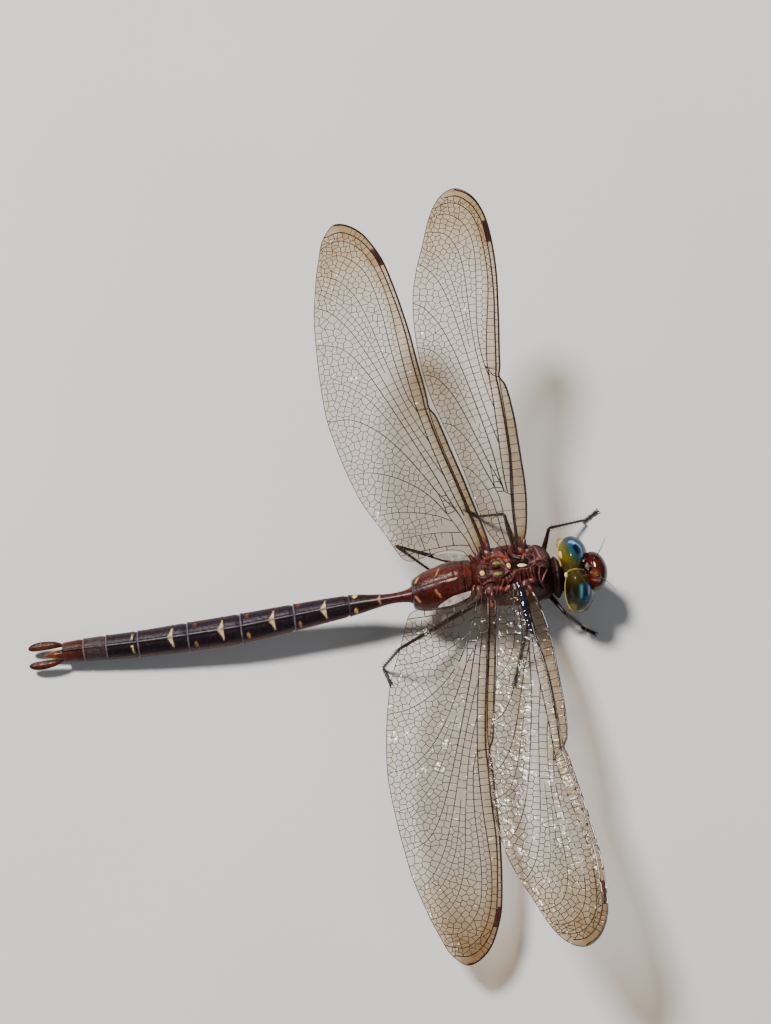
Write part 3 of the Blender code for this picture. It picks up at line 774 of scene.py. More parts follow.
def wing_place(root, sweep, lift, side):
    """The wing's own axes: out, back and up, from its root."""
    sweep, lift = math.radians(sweep), math.radians(lift)
    along = Vector((
        -math.sin(sweep) * math.cos(lift), side * math.cos(sweep) * math.cos(lift), math.sin(lift)))
    across = Vector((-1.0, 0.0, 0.0))
    across = (across - along * across.dot(along)).normalized()
    up = along.cross(across) * side

    def at(out, back, height):
        return root + along * float(out) + across * float(back) + up * float(height)
    return at


def film_stain(out, back, edge_back, length):
    """How strongly the film is stained at a place on the wing, from 0 to 1."""
    share = out / length
    tip = ease(0.70, 0.97, share)
    band = ease(1.9, 1.3, back - edge_back) * (0.36 + 0.14 * ease(0.8, 0.4, share))
    root = 0.55 * ease(0.05, 0.0, share) * ease(3.4, 1.2, back - edge_back)
    return min(1.0, 0.12 + band + 0.60 * tip + root)


def build_root(name, finish):
    """The small hinge plates between a wing and the back."""
    kind, *stance = WINGS[name]
    at = wing_place(*stance)
    plates = []
    for (out, back, high), sizes, turn, colour in ROOT_PLATES[kind is HIND_WING]:
        plate = ball("plate", (0.0, 0.0, 0.0), sizes, 40, 26)
        spin = Matrix.Rotation(math.radians(turn), 4, "Z")

        def lay(point, spin=spin, out=out, back=back, high=high):
            spot = spin @ Vector(point)
            dent = 0.10 * math.cos(spot.x * 7.0 + spot.y * 4.0) * sizes[2]
            return Vector(at(spot.x + out, spot.y + back, spot.z + dent + high))
        press(plate, lay)
        tidy_normals(plate)
        plates.append(paint(plate, colour))
    finish_piece(join(plates, name + "_root"), name + "_root", finish, smooth=60)


def build_strap(name, finish):
    """The broad, glossy, bluish black base of a wing's main veins."""
    at = wing_place(*WINGS[name][1:])
    line = smooth_line(((-1.5, 1.5), (-0.6, 1.1), (0.6, 0.85), (2.2, 0.8), (4.0, 0.65), (6.0, 0.35)), 0.12)
    sizes = np.interp(np.linspace(0, 1, len(line)), (0, 0.12, 0.5, 0.8, 1), (0.16, 0.34, 0.46, 0.3, 0.12))
    strap = rods("strap", [[Vector((u, v, 0.0)) for u, v in line]], [list(sizes)], sides=20)
    press(strap, lambda co: Vector(at(co.x, co.y, 0.16 + co.z * 0.5 + 0.05 * math.sin(co.x * 5.0))))
    paint(strap, (0.007, 0.007, 0.014))
    finish_piece(strap, name + "_strap", finish, smooth=60)


def grid_faces(rows, columns):
    """Square faces between the points of a grid that is listed row by row."""
    return [
        (r * columns + c, r * columns + c + 1, (r + 1) * columns + c + 1, (r + 1) * columns + c)
        for r in range(rows - 1) for c in range(columns - 1)]


def build_membranule(name, finish):
    """The small pale flap at the rear of a hind wing's base."""
    at = wing_place(*WINGS[name][1:])
    inner = smooth_line(((-0.9, 1.1), (-0.55, 2.2), (-0.1, 3.4), (0.5, 4.4), (1.25, 5.3)), 0.2)
    outer = smooth_line(((-0.5, 1.1), (0.15, 2.0), (0.65, 2.9), (1.05, 3.9), (1.4, 5.3)), 0.2)
    count = min(len(inner), len(outer))
    points = [at(u, v, -0.05 + 0.03 * math.sin(v * 3.0)) for u, v in [*inner[:count], *outer[:count]]]
    flap = new_mesh("flap", points, grid_faces(2, count))
    modify(flap, "SOLIDIFY", thickness=FLAP_THICKNESS, offset=0.0)
    paint(flap, (0.30, 0.27, 0.23))
    finish_piece(flap, name + "_flap", finish, smooth=60)


def build_net(name, drawing, on_wing, finish):
    """The veins: long ones, the edge, short cross pieces and the fine walls of the cells."""
    edge, long_veins, short, walls = drawing
    lines = [line for line, *_ in long_veins.values()] + [edge] + short
    radii = [np.linspace(thick, thin, len(line)) for line, thick, thin, *_ in long_veins.values()]
    radii += [[EDGE_RADIUS] * len(edge)] + [[STROKE_RADIUS] * len(line) for line in short]
    net = rods("net", [on_wing(line) for line in lines], radii, sides=6)
    fine_net = rods("fine_net", [on_wing(wall) for wall in walls], [[CELL_RADIUS] * 2] * len(walls), sides=4)
    net = join([net, fine_net], name + "_veins")

    def vein_colour(point):
        near = ease(8.5, 3.0, abs(point.y))
        return blend((0.013, 0.007, 0.005), (0.036, 0.010, 0.007), near)
    paint(net, vein_colour)
    finish_piece(net, name + "_veins", finish, smooth=60)


def build_film(name, drawing, height, at, dice, finish):
    """The clear skin between the veins, a little crumpled, with its stain."""
    edge, long_veins, _, walls = drawing
    spots, index_of, links = [], {}, []

    def spot(point):
        key = (round(float(point[0]), 2), round(float(point[1]), 2))
        if key not in index_of:
            index_of[key] = len(spots)
            spots.append(Vector(key))
        return index_of[key]
    loop = [spot(point) for point in edge]
    links += list(zip(loop, loop[1:] + loop[:1]))
    for line, *_ in long_veins.values():
        ends = [spot(point) for point in line]
        links += list(zip(ends, ends[1:]))
    links += [(spot(start), spot(end)) for start, end in walls]
    links = [(a, b) for a, b in links if a != b]
    spots, _, faces, *_ = delaunay_2d_cdt(spots, links, [], 1, 1e-4)
    crumple = [dice.uniform(-0.035, 0.035) for _ in spots]
    points = [at(p.x, p.y, height(p.x, p.y) + c) for p, c in zip(spots, crumple)]
    sheet = new_mesh(name, points, faces)
    leading = edge[int(np.argmax(edge[:, 0])):][::-1]
    length = WINGS[name][0][0]
    layer = sheet.data.color_attributes.new("stain", "FLOAT_COLOR", "POINT")
    for p, colour in zip(spots, layer.data):
        stain = film_stain(p.x, p.y, np.interp(p.x, leading[:, 0], leading[:, 1]), length)
        colour.color = (stain, stain, stain, 1.0)
    modify(sheet, "SOLIDIFY", thickness=FILM_THICKNESS, offset=0.0)
    finish_piece(sheet, name + "_film", finish, (name,), smooth=80)


def build_stigma(name, long_veins, on_wing, finish):
    """The dark thick cell near the tip, between the first two long veins."""
    length = WINGS[name][0][0]
    costa, radius = long_veins["costa"][0], long_veins["radius"][0]
    front = costa[(costa[:, 0] >= STIGMA_FROM * length) & (costa[:, 0] <= STIGMA_TO * length)]
    rear = np.stack([front[:, 0], np.interp(front[:, 0], radius[:, 0], radius[:, 1])], 1)
    rows = [front * (1 - share) + rear * share for share in (0.0, 0.25, 0.5, 0.75, 1.0)]
    points = [point for row in rows for point in on_wing(row)]
    cell = new_mesh("stigma", points, grid_faces(len(rows), len(front)))
    modify(cell, "SOLIDIFY", thickness=STIGMA_THICKNESS, offset=0.0)
    modify(cell, "BEVEL", width=0.04, segments=2)
    paint(cell, (0.050, 0.010, 0.005))
    finish_piece(cell, name + "_stigma", finish, smooth=50)


def build_wing(name, film, vein, stigma):
    kind, *stance = WINGS[name]
    dice = random.Random(name)
    drawing = lay_out_wing(kind, dice)
    edge, long_veins, *_ = drawing
    height = pleat_map(kind, long_veins, edge)
    at = wing_place(*stance)

    def on_wing(line):
        return [at(u, v, height(u, v)) for u, v in line]
    build_net(name, drawing, on_wing, vein)
    build_film(name, drawing, height, at, dice, film)
    build_stigma(name, long_veins, on_wing, stigma)


# ---------------------------------------------------------------- colours of the shell

BLACK_BROWN = (0.0036, 0.0013, 0.0014)
# Purple-grey painted sheen on the lit upper left of the dark segments; a little of it tints the rest.
SHEEN_VIOLET = (0.014, 0.0055, 0.0125)
RING_GREY = (0.115, 0.092, 0.11)
YELLOW = (0.80, 0.55, 0.14)
PALE_YELLOW = (0.80, 0.66, 0.30)
DULL_YELLOW = (0.20, 0.17, 0.055)
ORANGE = (0.26, 0.055, 0.010)
TAIL_BROWN = (0.066, 0.017, 0.007)


# ---------------------------------------------------------------- general shapes

def ball(name, centre, radii, segments=48, rings=32):
    """A sphere primitive stretched to three radii and moved to its place."""
    put_down()
    bpy.ops.mesh.primitive_uv_sphere_add(segments=segments, ring_count=rings, radius=1.0)
    obj = bpy.context.view_layer.objects.active
    obj.name = name
    return place(obj, Matrix.Translation(centre) @ Matrix.Diagonal((*radii, 1.0)))


def sleeve(name, stations, sides, section):
    """A disc extruded along X, once for each station, and shaped to each cross-section.

    A station is x, y, z, half width and half height. section(angle) gives the point of the
    cross-section sideways and up, in shares of the half sizes; angle is 0 at the top.
    """
    put_down()
    bpy.ops.mesh.primitive_circle_add(
        vertices=sides, radius=1.0, fill_type="NGON", rotation=(0.0, math.radians(90), 0.0))
    obj = bpy.context.view_layer.objects.active
    obj.name = name
    bpy.ops.object.transform_apply(location=True, rotation=True, scale=True)
    edit(obj)
    for _ in stations[1:]:
        bpy.ops.mesh.extrude_region_move(TRANSFORM_OT_translate={"value": (-1.0, 0.0, 0.0)})
    bpy.ops.object.mode_set(mode="OBJECT")
    for vertex in obj.data.vertices:
        index = min(len(stations) - 1, max(0, round(-vertex.co.x)))
        x, y, z, wide, high = stations[index]
        angle = math.atan2(vertex.co.y, vertex.co.z)
        side, up = section(angle)
        vertex.co = (x, y + wide * side, z + high * up)
    return tidy_normals(obj)


def between(rows, x):
    """One row of numbers at x, between the rows of a table whose x falls."""
    table = np.array(rows)[::-1]
    return (x, *(float(np.interp(x, table[:, 0], table[:, column])) for column in range(1, 5)))


def smooth_rows(rows, step=0.25):
    """A table of stations as one smooth run, in short steps."""
    return [tuple(row) for row in smooth_line(rows, step)]


# ---------------------------------------------------------------- head

HEAD_MIDDLE = Vector((8.95, -0.9, 6.6))
HEAD = Matrix.Translation(HEAD_MIDDLE) @ Matrix.Rotation(math.radians(1.0), 4, "Z")
EYE_OFFSET = Vector((0.38, 2.1, 0.35))
EYE_RADII = Vector((1.72, 2.42, 3.1))
EYE_LEAN = math.radians(25.0)
INNER_SWELL, REAR_SLOPE = 0.42, 0.38
# Colours on the eyes are laid out as seen from above: forward, and to the left.
ABOVE_RIGHT = Vector((0.991, -0.131, 0.0))
ABOVE_UP = Vector((0.126, 0.958, 0.259))


def seen_from_above(point, mark):
    away = point - mark
    return away.dot(ABOVE_RIGHT), away.dot(ABOVE_UP)


def near_line(spot, line):
    """Distance to a line, and on which side of it (above 0: to the left of its run)."""
    best, turn = 1e9, 0.0
    for (ax, ay), (bx, by) in zip(line, line[1:]):
        rx, ry, px, py = bx - ax, by - ay, spot[0] - ax, spot[1] - ay
        share = min(1.0, max(0.0, (px * rx + py * ry) / (rx * rx + ry * ry)))
        away = math.hypot(px - share * rx, py - share * ry)
        if away < best:
            best, turn = away, rx * py - ry * px
    return best, turn


LEFT_PUPIL = Vector((9.52, 1.58, 9.2))
RIGHT_PUPIL = Vector((10.03, -3.34, 8.2))
BLUE_ARC = (
    (-0.85, 0.78), (-0.6, 0.80), (-0.25, 0.68), (0.1, 0.50), (0.38, 0.27), (0.57, -0.05),
    (0.64, -0.5), (0.56, -0.9))
PUPIL_LINE = ((-0.16, 0.20), (0.14, -0.30))


def left_eye_colour(point):
    """Olive yellow, turning green and blue round a small navy pupil with a light blue arc that is partly the
    eye's own blue and partly a painted reflection.
    """
    ahead, out = seen_from_above(point, LEFT_PUPIL)
    olive = blend((0.20, 0.155, 0.005), (0.060, 0.052, 0.005), ease(-2.4, -0.7, ahead + 0.25 * out))
    olive = blend(olive, (0.070, 0.055, 0.010), ease(-1.0, -1.9, out))
    core, _ = near_line((ahead, out), PUPIL_LINE)
    reach, beyond = near_line((ahead, out), BLUE_ARC)
    colour = blend(olive, (0.034, 0.050, 0.012), ease(1.7, 0.9, core))
    colour = blend(colour, (0.010, 0.058, 0.080), ease(1.15, 0.5, core))
    inner = ease(0.62, 0.2, core) * ease(-0.5, 0.1, 0.75 * ahead + 0.66 * out)
    colour = blend(colour, (0.010, 0.050, 0.16), max(inner, ease(0.42, 0.15, reach)))
    if beyond > 0:
        colour = blend(colour, (0.006, 0.020, 0.052), ease(0.08, 0.24, reach) * ease(1.6, 0.6, reach))
    # Painted reflection: the light blue arc is brightest and broadest toward the rear.
    bright = 0.35 + 0.65 * bell(ahead + 0.3, 0.75)
    broad = 0.16 + 0.16 * bell(ahead + 0.42, 0.28)
    colour = blend(colour, (0.20, 0.36, 0.62), ease(broad, 0.03, reach) * bright)
    colour = blend(colour, (0.002, 0.005, 0.024), ease(0.42, 0.28, core))
    low = ease(7.0, 5.4, point.z)
    return blend(colour, (0.11, 0.10, 0.014), low)


def right_eye_colour(point):
    """Dark olive brown, with soft upright bands of teal, navy and light blue near the front."""
    ahead, out = seen_from_above(point, RIGHT_PUPIL)
    olive = blend((0.040, 0.029, 0.005), (0.014, 0.009, 0.003), ease(1.6, 0.2, out))
    olive = blend(olive, (0.028, 0.028, 0.012), ease(-0.9, -1.6, out))
    patch = ease(0.75, 0.35, math.hypot(ahead + 1.64, out + 2.2))
    olive = blend(olive, (0.20, 0.145, 0.010), patch)
    tall = ease(1.15, 0.65, out) * ease(-1.5, -1.0, out)
    colour = blend(olive, (0.012, 0.050, 0.048), tall * ease(-1.35, -0.85, ahead) * ease(1.0, 0.7, ahead))
    navy = ease(-0.62, -0.35, ahead) * ease(0.92, 0.7, ahead)
    colour = blend(colour, (0.004, 0.014, 0.055), tall * navy)
    streak = bell(ahead + 0.76, 0.14) * ease(0.9, 0.5, out) * ease(-1.1, -0.6, out)
    colour = blend(colour, (0.10, 0.25, 0.25), streak * 0.8)
    low_blue = bell(ahead + 0.08, 0.26) * ease(-0.5, -0.9, out) * ease(-1.5, -1.2, out)
    colour = blend(colour, (0.014, 0.075, 0.20), low_blue * 0.9)
    streak = bell(ahead - 0.2, 0.085) * ease(0.8, 0.4, out) * ease(-0.75, -0.3, out)
    colour = blend(colour, (0.28, 0.42, 0.56), streak * 0.85)
    low = ease(6.2, 4.6, point.z)
    return blend(colour, (0.10, 0.09, 0.014), low)


def eye_form(point, side):
    """Highest toward the rear, sloping to the front, and broad where the eyes meet."""
    rise = 1.0 - REAR_SLOPE * point.x if point.z > 0 else 1.0
    inner = ease(0.25, 0.95, -side * point.y)
    outer = 0.14 * ease(0.1, 0.8, side * point.y) if point.x < 0 else 0.0
    return Vector((point.x * (1.0 + INNER_SWELL * inner + outer), point.y, point.z * rise))


def eye_frame(side):
    offset = Vector((EYE_OFFSET.x, side * EYE_OFFSET.y, EYE_OFFSET.z))
    turn = Matrix.Rotation(side * EYE_LEAN, 4, "X")
    return Matrix.Translation(offset) @ turn @ Matrix.Diagonal((*EYE_RADII, 1.0))


def build_eye(side_name, side, finish):
    """One eye: a leaning egg, cut flat where it meets its neighbour."""
    name = "eye_" + side_name
    eye = ball(name, (0, 0, 0), (1, 1, 1), 144, 96)
    press(eye, lambda point: eye_form(point, side))
    place(eye, eye_frame(side))
    edit(eye)
    bpy.ops.mesh.bisect(
        plane_co=(0.0, side * 0.03, 0.0), plane_no=(0.0, -side, 0.0), use_fill=True, clear_outer=True)
    bpy.ops.object.mode_set(mode="OBJECT")
    tidy_normals(eye)
    place(eye, HEAD)
    paint(eye, left_eye_colour if side > 0 else right_eye_colour)
    return finish_piece(eye, name, finish, (name,), smooth=50)


SIGHT = Vector((-0.0338, -0.2566, 0.9659))      # from the head up to whoever looks at it


def rim_line(side, first, last):
    """A line round an eye's outline as seen along SIGHT, from one angle in degrees to another."""
    to_head = eye_frame(side)
    facing = (to_head.to_3x3().inverted() @ (HEAD.to_3x3().inverted() @ SIGHT)).normalized()
    ahead = Vector((1.0, 0.0, 0.0))
    ahead = (ahead - facing * ahead.dot(facing)).normalized()
    out = facing.cross(ahead)
    rim = []
    for angle in np.linspace(first, last, 60):
        a = math.radians(angle * side)
        spot = (ahead * math.cos(a) + out * math.sin(a)) * 0.992 + facing * 0.125
        spot = to_head @ eye_form(spot * 1.004, side)
        if side * spot.y > 0.07:
            rim.append(HEAD @ spot)
    return rim


def seam_line(side):
    """The line over the top of an eye where it meets its neighbour."""
    from_head = eye_frame(side).inverted()
    seam = []
    for across in np.linspace(-1.25, 1.25, 40):
        for height in np.linspace(4.2, 0.0, 240):
            spot = Vector((EYE_OFFSET.x + across, side * 0.06, height))
            x, y, z = from_head @ spot
            broad = 1.0 + INNER_SWELL * ease(0.25, 0.95, -side * y)
            rise = 1.0 - REAR_SLOPE * x / broad if z > 0 else 1.0
            if (x / broad) ** 2 + y ** 2 + (z / rise) ** 2 < 1.0:
                seam.append(HEAD @ spot)
                break
    return seam


def head_bead(name, spot, radii, turn, colour):
    """A small bead on the head, turned level by an angle in degrees."""
    bead = ball(name, (0, 0, 0), radii, 32, 20)
    place(bead, Matrix.Translation(spot) @ Matrix.Rotation(math.radians(turn), 4, "Z"))
    return paint(bead, colour)


def build_eye_rims(finish):
    """Gold lines round the eyes, a bow, pale beads behind them painted cream as the eyes' glints on small
    pale spots, and a yellow temple.
    """
    lines, radii = [], []
    for side, first, last, thick in ((1, 118, 275, 0.085), (-1, 62, 262, 0.05)):
        rim, seam = rim_line(side, first, last), seam_line(side)
        lines += [rim, seam]
        radii.append([thick + 0.02 * math.sin(math.pi * i / len(rim)) for i in range(len(rim))])
        radii.append([0.04] * len(seam))
    bow = smooth_line((
        (8.05, 2.42, 6.9), (7.68, 2.66, 7.0), (7.54, 3.06, 7.1), (7.72, 3.42, 7.1),
        (8.1, 3.54, 7.2), (8.62, 3.3, 7.1)), 0.1)
    lines.append([Vector(point) for point in bow])
    radii.append(list(0.07 + 0.08 * np.sin(np.linspace(0, math.pi, len(bow)))))
    rims = paint(rods("eye_rims", lines, radii, sides=8), (0.46, 0.33, 0.062))
    # Cream beads: painted highlights where the eyes glint, on small pale spots.
    glint_cream = (0.80, 0.70, 0.34)
    temple = head_bead("temple", (8.45, -4.62, 5.6), (0.55, 0.62, 0.6), -35.0, (0.17, 0.12, 0.010))
    left_glint_bead = head_bead("bead", (7.68, 1.24, 8.36), (0.20, 0.46, 0.22), 5.73, glint_cream)
    right_glint_bead = head_bead("bead", (7.95, -1.27, 8.27), (0.20, 0.36, 0.22), 5.73, glint_cream)
    joined = join([rims, temple, left_glint_bead, right_glint_bead], "eye_rims")
    return finish_piece(joined, "eye_rims", finish)


def face_lump(name, centre, radii, shape, colour_at, finish, extra=()):
    """A rounded part of the face, worked by shape about its centre, with any extra parts joined."""
    lump = ball(name, centre, radii, 64, 44)
    press(lump, lambda co: shape(co - Vector(centre)) + Vector(centre))
    for part in extra:
        lump = join([lump, part], name)
    place(lump, HEAD)
    paint(lump, colour_at)
    return finish_piece(lump, name, finish, (name,), smooth=60)


def build_face(finish):
    """Brow, shield, lip, crown and the capsule behind the eyes."""
    def brow(away):
        if away.z > 0:
            away.z *= 0.94 * (1.0 + 0.10 * away.x)
            away.z *= 1.0 - 0.42 * ease(0.2, -1.9, away.x)
        away.z += 0.10 * bell(away.y, 0.5) * ease(0.0, 1.2, away.x)
        dent = bell(away.z + 0.75, 0.16) * ease(-0.5, 0.8, away.x)
        return away * (1.0 - 0.05 * dent)

    def brow_colour(point):
        ahead, out = seen_from_above(point, Vector((11.31, -1.52, 8.6)))
        colour = blend((0.048, 0.0050, 0.0023), (0.018, 0.002, 0.0015), ease(0.3, 1.1, ahead))
        colour = blend(colour, (0.026, 0.003, 0.002), ease(1.6, 2.4, out))
        glow = bell(ahead, 0.30) * bell(out, 0.42)
        colour = blend(colour, (0.20, 0.060, 0.018), glow * 0.85)
        line = bell(out + 0.82 + 0.06 * ahead, 0.07) * ease(-0.55, -0.3, ahead)
        return blend(colour, (0.26, 0.085, 0.055), line * ease(0.55, 0.3, ahead))

    def shield(away):
        dent = bell(away.y, 0.35) * ease(0.0, 1.0, away.x)
        fold = bell(away.z + 0.35, 0.14) * ease(-0.4, 0.6, away.x)
        return away * (1.0 - 0.03 * dent - 0.06 * fold)

    def shield_colour(point):
        low = ease(6.3, 5.4, point.z)
        return blend((0.105, 0.024, 0.008), (0.22, 0.095, 0.022), low)

    def lip(away):
        notch = bell(away.y, 0.3) * ease(0.0, -0.8, away.z)
        return away * (1.0 - 0.10 * notch)

    def lip_colour(point):
        edge = ease(4.1, 3.6, point.z)
        return blend((0.20, 0.080, 0.020), (0.030, 0.011, 0.006), edge)

    def crown_colour(point):
        # Painted highlight: the top of the crown is painted pale grey-pink.
        return blend((0.016, 0.006, 0.005), (0.12, 0.075, 0.07), ease(9.12, 9.26, point.z))

    def capsule(away):
        groove = bell(away.y, 0.25) * ease(0.0, -1.0, away.x)
        return away * (1.0 - 0.05 * groove)

    def capsule_colour(point):
        rim = ease(2.9, 3.4, abs(point.y + 0.9)) * ease(0.3, -0.3, point.x - 8.6)
        colour = blend((0.008, 0.003, 0.002), (0.20, 0.15, 0.02), rim)
        return blend(colour, (0.12, 0.05, 0.02), ease(5.0, 4.0, point.z))

    face_lump("frons", (2.42, -0.12, 0.75), (1.64, 2.38, 1.75), brow, brow_colour, finish)
    face_lump("clypeus", (2.05, 0.0, -0.95), (1.75, 2.3, 1.3), shield, shield_colour, finish)
    jaws = [ball("jaw", (1.15, side * 1.75, -2.05), (0.95, 0.55, 0.85), 32, 20) for side in (1, -1)]
    face_lump("labrum", (1.6, 0.0, -2.15), (1.5, 1.9, 0.95), lip, lip_colour, finish, extra=jaws)
    ocelli = [ball("ocellus", (1.82, 0.14, 2.40), (0.09, 0.11, 0.10), 24, 16)]
    for out in (0.52, -0.24):
        ocelli.append(ball("ocellus", (1.54, out, 2.52), (0.09, 0.09, 0.09), 24, 16))
    ocelli = place(join(ocelli, "ocelli"), HEAD)
    finish_piece(paint(ocelli, (0.30, 0.22, 0.17)), "ocelli", finish)
    face_lump("vertex", (1.5, 0.14, 2.25), (0.38, 0.52, 0.46), lambda away: away, crown_colour, finish)
    face_lump(
        "head_capsule", (0.05, 0.0, -0.6), (1.6, 3.55, 2.7), capsule, capsule_colour, finish)


def build_antennae(finish):
    """Each feeler: two short thick joints and a long fine bristle."""
    for side_name, side in (("left", 1), ("right", -1)):
        root = Vector((2.45, side * 0.95, 2.05))
        elbow = Vector((2.85, side * 1.3, 2.45))
        tip = Vector((4.2, side * 3.3, 3.2))
        line = [root, root.lerp(elbow, 0.45), root.lerp(elbow, 0.5), elbow]
        sizes = [0.16, 0.14, 0.10, 0.11]
        whip = smooth_line([elbow, elbow.lerp(tip, 0.5) + Vector((0.1, 0, 0.12)), tip], 0.2)
        thin = list(np.linspace(0.06, 0.02, len(whip)))
        feeler = rods("feeler", [line, [Vector(p) for p in whip]], [sizes, thin], sides=10)
        place(feeler, HEAD)
        name = "antenna_" + side_name
        paint(feeler, (0.03, 0.012, 0.008))
        finish_piece(feeler, name, finish, (name,), smooth=50)


# ---------------------------------------------------------------- thorax

THORAX_MIDDLE_Z = 6.2
THORAX_SHEAR = -0.32
THORAX_STATIONS = (
    # x, how far the middle is raised, half width, half height
    (6.75, 0.7, 1.3, 1.4), (6.45, 0.5, 2.3, 2.5), (5.9, 0.25, 2.95, 3.4), (5.1, 0.1, 3.3, 3.95),
    (3.2, 0.0, 3.5, 4.25), (0.8, 0.0, 3.5, 4.3), (-0.9, 0.1, 3.2, 3.95), (-2.0, 0.35, 2.6, 3.1),
    (-2.5, 0.55, 2.0, 2.1),
)
# Yellow marks along the back: centre, half sizes, colour
BACK_MARKS = (
    ((2.71, 0.2), (0.64, 0.30), PALE_YELLOW), ((1.06, 0.27), (0.28, 0.40), YELLOW),
    ((-0.25, 0.75), (0.56, 0.22), DULL_YELLOW), ((-0.31, -0.53), (0.56, 0.25), DULL_YELLOW),
    ((-2.10, -0.16), (0.3, 0.32), YELLOW),
)
# The next three pink tones are painted highlights on the raised lines of the back.
CREST_HIGHLIGHT = (0.125, 0.036, 0.032)
STAR_HIGHLIGHT = (0.19, 0.082, 0.074)
RIB_HIGHLIGHT = (0.22, 0.060, 0.034)
PLUM = (0.055, 0.017, 0.018)
RUST = (0.15, 0.018, 0.007)
EMBER = (0.36, 0.060, 0.012)
# Near black: painted shade in the hollows of the back.
HOLLOW_SHADE = (0.006, 0.002, 0.002)
OLIVE_SKIN = (0.055, 0.030, 0.008)
